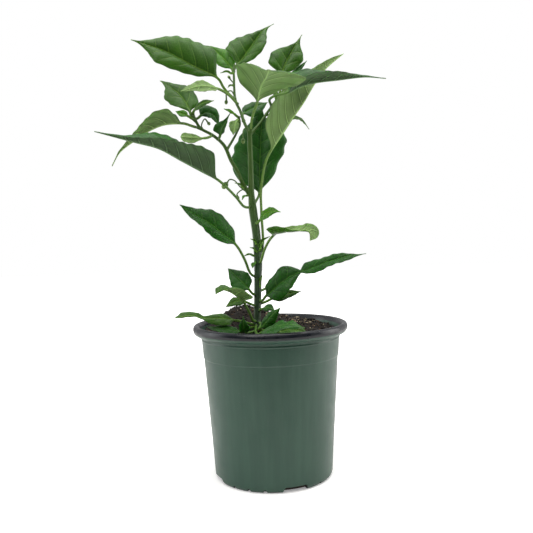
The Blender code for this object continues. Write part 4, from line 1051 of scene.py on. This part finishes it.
LEAVES = {
    "leaf_top_left": Leaf(
        stalk=[(-30, 3, 400), (-36, 1, 405), (-42, -3, 412)],
        blade=[(-47, -8, 420), (-71, -14, 432), (-98, -20, 446), (-133, -24, 458)],
        left=(-7, -6, -14),
        right=(12, 8, 24),
        outline="low_belly",
        right_outline="heart",
    ),
    "leaf_top_left_small": Leaf(
        stalk=[(-28, 2, 395), (-36, -12, 402)],
        blade=[(-46, -20, 407), (-62, -31, 408), (-83, -39, 402)],
        left=(-3, 7, 7),
        right=(-1, -8, -6),
        wave=(0.8, 2),
    ),
    "leaf_top_young": Leaf(
        stalk=[(-31, 7, 430), (-32, 11, 431)],
        blade=[(-33, 13, 434), (-39, 16, 443), (-48, 21, 453), (-56, 25, 462)],
        left=(-8, -3, -5),
        right=(8, 3, 8),
        tone="young",
        wave=(0.6, 2),
    ),
    "leaf_top_centre": Leaf(
        stalk=[(-31, 7, 433), (-29, 9, 435)],
        blade=[(-28, 10, 437), (-23, 12, 443), (-13, 16, 457), (2, 22, 477), (13, 26, 484)],
        left=(-17, 3, 13),
        right=(11, -7, -8),
        outline="shoulder",
        right_outline="belly",
    ),
    "leaf_top_right": Leaf(
        stalk=[(14, 19, 401), (18, 23, 412)],
        blade=[(20, 26, 429), (24, 29, 441), (32, 33, 456), (44, 38, 475)],
        left=(-16, -3, 9),
        right=(14, -1, -7),
        outline="shoulder",
        right_outline="belly",
    ),
    "leaf_top_right_back": Leaf(
        stalk=[(9, 15, 395), (15, 27, 401), (22, 34, 415)],
        blade=[(28, 38, 426), (38, 41, 437), (49, 44, 448)],
        left=(-3, 1, 2),
        right=(3, -2, -2),
        tone="dark",
        wave=(0.3, 2),
    ),
    "leaf_front_high": Leaf(
        stalk=[(-15, -3, 364), (-13, -9, 378)],
        blade=[(-7, -17, 393), (-3, -38, 404), (3, -68, 408), (5, -98, 407), (6, -112, 404)],
        left=(39, 4, -1),
        right=(-25, -1, 17),
        wave=(1.6, 2),
        outline="corner",
        right_outline="triangle",
    ),
    "leaf_right_long": Leaf(
        stalk=[(8, 15, 394), (6, 8, 400), (13, 1, 403)],
        blade=[(23, 2, 405), (41, 4, 413), (58, 3, 416), (78, 0, 417), (106, -6, 418), (127, -10, 415)],
        left=(1, 12, 19),
        right=(-3, -11, 8),
        tone="dark",
        outline="near_base",
        right_outline="drip",
    ),
    "leaf_right_rising": Leaf(
        stalk=[(-11, 0, 234), (-6, 0, 243), (-6, -1, 280), (-6, -3, 300), (-4, -3, 316), (-1, -3, 330)],
        blade=[(4, -2, 342), (17, 3, 361), (32, 11, 383), (42, 18, 397), (55, 28, 418), (69, 38, 437), (90, 46, 455)],
        left=(-9, 18, 6),
        right=(-22, -6, 14),
        outline="strap",
    ),
    "leaf_right_back": Leaf(
        stalk=[(2, 11, 385), (8, 24, 385)],
        blade=[(15, 34, 384), (29, 41, 386), (42, 46, 383), (50, 48, 373)],
        left=(0, 4, 3),
        right=(0, -5, -3),
        wave=(0.6, 2),
    ),
    "leaf_back_broad": Leaf(
        stalk=[(-15, 1, 284), (-12, 8, 292)],
        blade=[(-8, 14, 300), (-7, 22, 325), (-5, 29, 355), (-2, 36, 398)],
        left=(-30, -2, 3),
        right=(28, 1, -2),
        tone="dark",
        outline="oval",
        right_outline="low_belly",
    ),
    "leaf_left_long": Leaf(
        stalk=[(-16, 0, 286), (-24, -9, 287), (-32, -16, 297)],
        blade=[(-49, -26, 314), (-65, -33, 323), (-85, -41, 334), (-105, -49, 345), (-128, -57, 351), (-164, -66, 361)],
        left=(11, -8, 19),
        right=(4, 19, 17),
        tone="dark",
        outline="near_base",
        right_outline="lance",
    ),
    "leaf_left_drooping": Leaf(
        stalk=[(-64, -20, 367), (-74, -21, 370)],
        blade=[(-83, -21, 373), (-103, -18, 373), (-118, -16, 368), (-135, -14, 358), (-151, -14, 346), (-159, -16, 332)],
        left=(-4, -12, 13),
        right=(-3, 12, 11),
        outline="near_base",
    ),
    "leaf_left_upright": Leaf(
        stalk=[(-72, -22, 379), (-75, -21, 381)],
        blade=[(-76, -20, 384), (-80, -15, 394), (-88, -9, 405), (-98, -2, 414), (-109, 4, 422)],
        left=(-13, -7, -7),
        right=(13, 7, 6),
        outline="belly",
        right_outline="oval",
    ),
    "leaf_left_narrow": Leaf(
        stalk=[(-73, -22, 383), (-72, -25, 384)],
        blade=[(-71, -27, 385), (-67, -31, 388), (-60, -35, 391), (-50, -39, 392)],
        left=(-1, 2, 3),
        right=(0, -2, -4),
        wave=(0.3, 2),
    ),
    "leaf_left_round": Leaf(
        stalk=[(-71, -22, 377), (-68, -21, 378)],
        blade=[(-66, -20, 380), (-60, -18, 384), (-53, -16, 382), (-47, -13, 371)],
        left=(0, 4, 8),
        right=(0, -5, -6),
        tone="dark",
        wave=(0.4, 2),
    ),
    "leaf_left_tiny": Leaf(
        stalk=[(-70, -22, 375), (-75, -24, 378)],
        blade=[(-78, -24, 380), (-84, -21, 383), (-91, -18, 386)],
        left=(-2, -3, -3),
        right=(1, 1, 4),
        tone="young",
        wave=(0.2, 2),
    ),
    "leaf_left_pale": Leaf(
        stalk=[(-54, -16, 361), (-58, -22, 358)],
        blade=[(-62, -25, 357), (-73, -30, 357), (-85, -34, 358)],
        left=(-1, 3, 5),
        right=(1, -3, -6),
        wave=(0.5, 2),
        outline="spoon",
    ),
    "leaf_branch_dark": Leaf(
        stalk=[(-49, -14, 357), (-47, -18, 358)],
        blade=[(-46, -20, 360), (-44, -22, 366), (-39, -23, 374), (-34, -24, 383)],
        left=(-8, -2, 3),
        right=(3, 3, -1),
        tone="dark",
        wave=(0.4, 2),
        outline="near_base",
    ),
    "leaf_side_pale": Leaf(
        stalk=[(-27, 3, 377), (-28, -2, 378)],
        blade=[(-29, -5, 377), (-31, -9, 371), (-33, -12, 361)],
        left=(-6, 0, 2),
        right=(4, 1, -2),
        wave=(0.6, 3),
        outline="oval",
    ),
    "leaf_side_tiny": Leaf(
        stalk=[(-27, 3, 381), (-30, -1, 383)],
        blade=[(-31, -2, 384), (-36, -5, 387), (-42, -8, 389)],
        left=(0, -1, -2),
        right=(0, 1, 2),
        tone="young",
        wave=(0.2, 2),
    ),
    "leaf_fork_back": Leaf(
        stalk=[(-22, 0, 377), (-23, 6, 382)],
        blade=[(-23, 11, 386), (-11, 20, 394), (4, 30, 401)],
        left=(-6, 2, 5),
        right=(6, -2, -8),
        tone="dark",
        wave=(0.6, 2),
        outline="oval",
    ),
    "leaf_middle_left": Leaf(
        stalk=[(-12, 0, 211), (-19, -6, 216), (-25, -14, 232)],
        blade=[(-33, -20, 247), (-46, -24, 259), (-60, -26, 271), (-75, -27, 280), (-89, -28, 290)],
        left=(-5, -7, -7),
        right=(8, 9, 11),
        tone="dark",
    ),
    "leaf_middle_bright": Leaf(
        stalk=[(-14, 1, 268), (-10, -6, 270)],
        blade=[(-8, -9, 272), (-3, -13, 278), (4, -16, 281), (14, -19, 280)],
        left=(0, 5, 5),
        right=(0, -5, -6),
        tone="young",
        wave=(0.5, 2),
        right_outline="belly",
    ),
    "leaf_middle_right_curled": Leaf(
        stalk=[(-11, 0, 226), (-8, -7, 229), (-3, -12, 243)],
        blade=[(5, -17, 255), (14, -22, 259), (25, -30, 260), (35, -38, 260), (42, -43, 258), (42, -47, 250)],
        left=(-19, -16, 5),
        right=(5, 6, 7),
        outline="near_base",
        right_outline="spoon",
    ),
    "leaf_low_right_long": Leaf(
        stalk=[(-12, 2, 196), (-5, 10, 198), (7, 16, 204), (22, 15, 210)],
        blade=[(31, 13, 214), (45, 10, 219), (64, 4, 226), (86, -3, 232), (103, -8, 234)],
        left=(-1, 6, 7),
        right=(-1, -8, -6),
        tone="dark",
        outline="heart",
        right_outline="oval",
    ),
    "leaf_low_right_broad": Leaf(
        stalk=[(-12, 0, 186), (-7, -8, 188)],
        blade=[(-4, -11, 192), (4, -15, 199), (13, -18, 207), (24, -20, 214), (35, -20, 218)],
        left=(-8, 6, 10),
        right=(9, -8, -9),
        tone="dark",
        outline="blunt",
        right_outline="oval",
    ),
    "leaf_low_right_thin": Leaf(
        stalk=[(-13, 1, 182), (-4, 3, 185)],
        blade=[(3, 4, 188), (13, 1, 191), (23, -3, 194), (34, -6, 196)],
        left=(0, 4, 4),
        right=(0, -5, -5),
        wave=(0.5, 2),
    ),
    "leaf_low_left_dark": Leaf(
        stalk=[(-12, 0, 191), (-18, -5, 195)],
        blade=[(-21, -7, 199), (-27, -7, 206), (-34, -5, 213), (-43, -3, 222)],
        left=(-9, -7, -6),
        right=(9, 7, 6),
        tone="dark",
        wave=(0.8, 2),
    ),
    "leaf_low_left_curled": Leaf(
        stalk=[(-13, 0, 164), (-18, -8, 167), (-20, -17, 173), (-23, -24, 181)],
        blade=[(-27, -29, 189), (-33, -38, 196), (-41, -47, 202), (-49, -54, 204), (-53, -58, 200)],
        left=(15, -14, 2),
        right=(-11, 13, 6),
    ),
    "leaf_low_left_tip": Leaf(
        stalk=[(-13, 0, 180), (-20, -7, 184)],
        blade=[(-26, -11, 187), (-35, -15, 188), (-46, -19, 183)],
        left=(2, -5, -4),
        right=(-2, 4, 4),
        wave=(0.5, 2),
    ),
    "leaf_base_left_long": Leaf(
        stalk=[(-14, 0, 161), (-22, -6, 163), (-29, -10, 166)],
        blade=[(-37, -14, 168), (-51, -20, 171), (-67, -29, 173), (-81, -37, 177), (-96, -45, 176)],
        left=(4, -10, -6),
        right=(-5, 8, 5),
        outline="near_base",
        right_outline="notched",
    ),
    "leaf_base_left_flat": Leaf(
        stalk=[(-14, 0, 159), (-23, -12, 159), (-27, -24, 158)],
        blade=[(-31, -29, 158), (-42, -30, 160), (-54, -28, 162), (-65, -24, 163)],
        left=(2, -9, -4),
        right=(-2, 10, 4),
        tone="dark",
        wave=(0.8, 2),
    ),
    "leaf_base_glossy": Leaf(
        stalk=[(-14, 0, 157), (-17, -13, 156), (-23, -30, 157)],
        blade=[(-25, -36, 158), (-27, -42, 166), (-27, -44, 176)],
        left=(-6, 1, 1),
        right=(6, 0, 1),
        tone="dark",
        wave=(0.5, 2),
        outline="heart",
    ),
    "leaf_base_upright": Leaf(
        stalk=[(-14, 0, 165), (-10, -9, 162), (-12, -20, 159)],
        blade=[(-10, -25, 161), (-4, -31, 168), (2, -35, 175), (11, -37, 183)],
        left=(-2, 5, 4),
        right=(6, 0, -6),
        tone="dark",
        wave=(0.5, 2),
    ),
    "leaf_base_right_wavy": Leaf(
        stalk=[(-14, 0, 162), (-15, -12, 159), (-15, -24, 156), (-12, -37, 156)],
        blade=[(-9, -46, 159), (1, -57, 165), (12, -68, 169), (22, -74, 170), (33, -77, 167)],
        left=(4, 9, 3),
        right=(-4, -13, -5),
        tone="dark",
        wave=(1.8, 3),
    ),
    "leaf_base_right_pale": Leaf(
        stalk=[(-14, 0, 158), (-8, -10, 156), (2, -26, 158)],
        blade=[(9, -33, 157), (19, -38, 160), (29, -40, 159), (38, -41, 156)],
        left=(3, 5, 7),
        right=(-2, -6, -3),
        wave=(0.8, 2),
    ),
    "leaf_base_dark": Leaf(
        stalk=[(-13, 0, 175), (-9, -7, 178)],
        blade=[(-7, -10, 179), (-2, -14, 181), (5, -18, 178)],
        left=(2, 4, 3),
        right=(0, -3, -4),
        tone="dark",
        wave=(0.3, 2),
    ),
}

print("leaves:", len(LEAVES), "outlines:", len(OUTLINES))

# %% [markdown]
# The form of a leaf
#
# A leaf is drawn as rows of points along its middle line and columns from the left edge to
# the right one, once for its upper face and once for its lower face. The stalk is a round
# rod that flattens into the blade. The blade follows the same curves, halves, bulges and
# waves as in the plain model. What is added here is finer: a raised midrib below with a
# groove above, side veins that curve forward to the edge with the blade puffed up between
# them, a thin edge, and a small ripple along it.

# %% Sizes of the leaves, in millimetres
STALK_RADIUS = 1.35
TIP_HALF = 0.35
WIDEST = 0.38
STALK_FADE = 0.14
MIDDLE_THICKNESS = 0.55
EDGE_THICKNESS = 0.3
MIDRIB_HEIGHT = 1.1
MIDRIB_WIDTH = 0.75
GROOVE_DEPTH = 0.35
VEIN_SPACING = 13.5
VEIN_SWEEP = 0.2
PUFF = 0.045
LARGEST_PUFF = 0.9
SCALLOP = 0.03
RIPPLE = 0.3
STALK_STEP = 2.0
LONG_BLADE = 45.0
FINE_GRID = (110, 29)
COARSE_GRID = (48, 19)
GAP = 0.35


def width_share(share, outline):
    """The half blade's width as a share of its widest, at shares of its length from the base."""
    stations = [(0.0, 0.0), *zip(WIDTH_SHARES, OUTLINES[outline]), (1.0, 0.0)]
    curve = smooth_curve(stations)
    return np.maximum(np.interp(share, curve[:, 0], curve[:, 1]), 0.0)


def stalk_start(path, longest):
    """The first place along the stalk where its round section is clear of the stem."""
    places = np.arange(0.5, longest, 0.25)
    directions = path.directions(places)
    side = unit(np.cross(directions, (0.3, 0.2, 1.0)))
    up = np.cross(side, directions)
    angles = np.linspace(0, math.tau, 8, endpoint=False)[:, None, None]
    section = path.at(places) + STALK_RADIUS * (np.cos(angles) * side + np.sin(angles) * up)
    for place, points in zip(places, section.transpose(1, 0, 2)):
        away = np.linalg.norm(points[:, None] - stem_line[None, :, :3], axis=2) - stem_line[:, 3]
        if away.min() >= GAP:
            return place
    return longest


def leaf_object(name, leaf, start=None):
    """A closed leaf with its stalk, its upper and lower finish and its two maps."""
    path = Path(leaf.stalk + leaf.blade)
    base = path.distance_to(leaf.blade[0])
    length = path.length - base
    rows, columns = FINE_GRID if length > LONG_BLADE else COARSE_GRID
    start = stalk_start(path, base) if start is None else start
    stalk_rows = max(3, round((base - start) / STALK_STEP))
    places = np.concatenate([np.linspace(start, base, stalk_rows, endpoint=False), base + length * np.linspace(0, 1, rows)])
    widest_row = int(np.argmin(np.abs(places - base - WIDEST * length)))
    share = np.clip((places - base) / length, 0.0, 1.0)[:, None]

    # Halves and directions of every row
    along = path.directions(places)
    halves = []
    for given in (leaf.left, leaf.right):
        given = np.asarray(given, float)
        flat = given - along[widest_row] * (along[widest_row] @ given)
        halves.append(carried(flat, along, widest_row))
    left, right = halves
    side = unit(unit(right) - unit(left))
    up = np.cross(side, along)

    # Where every point lies on the flat blade
    spread = np.linspace(-1, 1, columns)
    across = np.sign(spread) * np.abs(spread) ** 1.5
    is_left = across < 0
    half = np.where(is_left[None, :, None], left[:, None], right[:, None])
    half_size = np.linalg.norm(half, axis=2)
    out = half / half_size[..., None]
    normal = np.where(is_left[None, :, None], np.cross(along[:, None], out), np.cross(out, along[:, None]))
    normal[:, columns // 2] = up
    right_width = width_share(share, leaf.right_outline or leaf.outline)
    width = np.where(is_left, width_share(share, leaf.outline), right_width)
    reach = np.maximum(width * half_size, TIP_HALF)
    tapered = np.sin(math.pi * share)

    # Side veins, counted along the blade, and an edge that bulges a little between them
    vein_count = max(4, round(length / VEIN_SPACING))
    sweep = VEIN_SWEEP * width * np.abs(across) ** 1.2
    shift = np.where(is_left, 0.0, 0.5) + 0.12 * np.sin(7 * share + 2 * across)
    count = vein_count * (share - sweep) + shift
    scallop = SCALLOP * np.cos(math.tau * count) * np.abs(across) ** 4 * tapered
    from_rib = np.abs(across) * reach * (1 - scallop)

    # Bulge, waves and ripple
    height, waves = leaf.wave
    phase = math.tau * waves * share + np.where(is_left, 0.0, 1.3)
    lift = leaf.bulge * reach * np.abs(across) * (1 - np.abs(across)) * 4
    lift = lift + height * across**2 * np.sin(phase) * tapered**0.5
    ripple = RIPPLE * min(1.0, length / 60) * np.abs(across) ** 5
    lift = lift + ripple * np.sin(phase * 3.7 + 1.0) * tapered**0.5

    # The blade puffed up between the veins, the midrib and its groove
    beside = np.abs(count - np.floor(count) - 0.5) * 2
    puff = np.minimum(PUFF * reach, LARGEST_PUFF) * np.sin(beside * math.pi / 2) ** 0.8
    puff = puff * (1 - np.abs(across) ** 4) * np.clip(from_rib / 3.0, 0, 1) * tapered**0.4
    rib = MIDRIB_HEIGHT * (1 - 0.85 * share) * np.exp(-((from_rib / MIDRIB_WIDTH) ** 2))
    groove = GROOVE_DEPTH * (1 - share) * np.exp(-((from_rib / MIDRIB_WIDTH) ** 2))
    thick = MIDDLE_THICKNESS + (EDGE_THICKNESS - MIDDLE_THICKNESS) * np.abs(across) ** 2

    # Blend the round stalk into the blade
    fade = np.clip(1 - share / STALK_FADE, 0, 1)
    stalk = (fade * fade * (3 - 2 * fade))[..., None]
    turn = (spread * math.radians(80))[None, :, None]
    round_out = STALK_RADIUS * np.sin(turn) * side[:, None]
    round_up = STALK_RADIUS * np.cos(turn) * up[:, None]
    centre = path.at(places)[:, None]
    sheet = from_rib[..., None] * out
    above = sheet + normal * (lift + puff + thick / 2 - groove)[..., None]
    below = sheet + normal * (lift + puff - thick / 2 - rib)[..., None]
    upper = centre + stalk * (round_out + round_up) + (1 - stalk) * above
    lower = centre + stalk * (round_out - round_up) + (1 - stalk) * below

    # Faces of both sides, the edges and the two ends
    total = len(places)
    top = np.arange(total * columns).reshape(total, columns)
    bottom = top + total * columns
    quads = [np.stack([top[:-1, :-1], top[:-1, 1:], top[1:, 1:], top[1:, :-1]], axis=-1).reshape(-1, 4)]
    quads += [np.stack([bottom[:-1, 1:], bottom[:-1, :-1], bottom[1:, :-1], bottom[1:, 1:]], axis=-1).reshape(-1, 4)]
    quads += [np.stack([top[1:, 0], bottom[1:, 0], bottom[:-1, 0], top[:-1, 0]], axis=-1)]
    quads += [np.stack([top[:-1, -1], bottom[:-1, -1], bottom[1:, -1], top[1:, -1]], axis=-1)]
    quads += [np.stack([top[0, 1:], top[0, :-1], bottom[0, :-1], bottom[0, 1:]], axis=-1)]
    quads += [np.stack([top[-1, :-1], top[-1, 1:], bottom[-1, 1:], bottom[-1, :-1]], axis=-1)]
    upper_count = len(quads[0])
    faces = np.concatenate(quads)
    mesh = bpy.data.meshes.new(name)
    points = np.concatenate([upper.reshape(-1, 3), lower.reshape(-1, 3)])
    mesh.from_pydata((points * MM).tolist(), [], faces.tolist())
    mesh.materials.append(leaf_upper[leaf.tone])
    mesh.materials.append(leaf_under[leaf.tone])
    mesh.polygons.foreach_set("material_index", np.where(np.arange(len(faces)) < upper_count, 0, 1))
    mesh.shade_smooth()

    # The two maps
    loops = np.zeros(len(mesh.loops), dtype=int)
    mesh.loops.foreach_get("vertex_index", loops)
    along_share = ((places - base) / length)[:, None]
    maps = {"blade": (across[None] + 0 * share, along_share + 0 * across), "veins": (np.sign(across) * from_rib, count)}
    for map_name, (first, second) in maps.items():
        flat = np.tile(np.stack([first, second], axis=-1).reshape(-1, 2), (2, 1))
        layer = mesh.uv_layers.new(name=map_name)
        layer.data.foreach_set("uv", flat[loops].ravel())
    return link(bpy.data.objects.new(name, mesh)), path, start


print("a large leaf has", FINE_GRID[0], "rows and", FINE_GRID[1], "columns of points on each face")

# %% [markdown]
# Where stalks meet the stem
#
# A leaf stalk swells a little where it leaves the stem. Each swelling is a short tube that
# starts inside the stem and ends just short of the leaf's own stalk. All branches and
# swellings are then made one skin by rebuilding their surface in small cells, which rounds
# the forks as growth does.

# %% Draw the leaves
SWELLING = 2.2
STALK_JOINT = 0.15

swellings = []
for name, leaf in LEAVES.items():
    obj, path, start = leaf_object(f"{name}_fine", leaf)
    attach(obj, "root")
    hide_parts(name)
    reach = np.linspace(0, max(start - STALK_JOINT, 0.6), 8)
    widths = SWELLING + (STALK_RADIUS - SWELLING) * np.linspace(0, 1, 8)
    swellings.append(tube_mesh("swelling", np.column_stack([path.at(reach), widths]), 16))
print("leaves:", len(LEAVES))

# %% [markdown]
# The tiny leaves use the same form as the others. Each is folded a little along its rib.

# %% Draw the tiny leaves
LEAFLET_FOLD = 0.3


def tiny_leaf(base, tip, half_width):
    base, tip = np.asarray(base, float), np.asarray(tip, float)
    along = unit(tip - base)
    across = unit(np.cross(along, (0, 0, 1.0)))
    up = np.cross(across, along)
    middle = base + 0.5 * (tip - base) + up * 0.12 * np.linalg.norm(tip - base)
    left = -across * half_width + up * LEAFLET_FOLD * half_width
    right = across * half_width + up * LEAFLET_FOLD * half_width
    stalk_end = base + 0.12 * (tip - base)
    blade = [base + 0.2 * (tip - base), middle, tip]
    leaf = Leaf([base, stalk_end], blade, left, right, tone="young", wave=(0.2, 2))
    return leaf_object("tiny_leaf", leaf, 0.0)[0]


tiny_leaves = [tiny_leaf(*values) for values in LEAFLETS]
print("tiny leaves:", len(tiny_leaves))

# %% Make the branches one skin and join the stem
SKIN_CELL = 0.42

stem = stem_tubes[0]
join(stem, *stem_tubes[1:], *swellings)
remesh = stem.modifiers.new("one_skin", "REMESH")
remesh.mode = "VOXEL"
remesh.voxel_size = SKIN_CELL * MM
remesh.use_smooth_shade = True
relax = stem.modifiers.new("relax", "SMOOTH")
relax.factor = 0.5
relax.iterations = 4
with bpy.context.temp_override(object=stem, active_object=stem):
    for modifier in list(stem.modifiers):
        bpy.ops.object.modifier_apply(modifier=modifier.name)
stem.data.materials.clear()
stem.data.materials.append(stem_skin)
stem.name = "pepper_stem"
join(stem, *bud_pieces, *tiny_leaves)
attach(stem, "root")
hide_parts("stem")
print("stem faces:", len(stem.data.polygons))
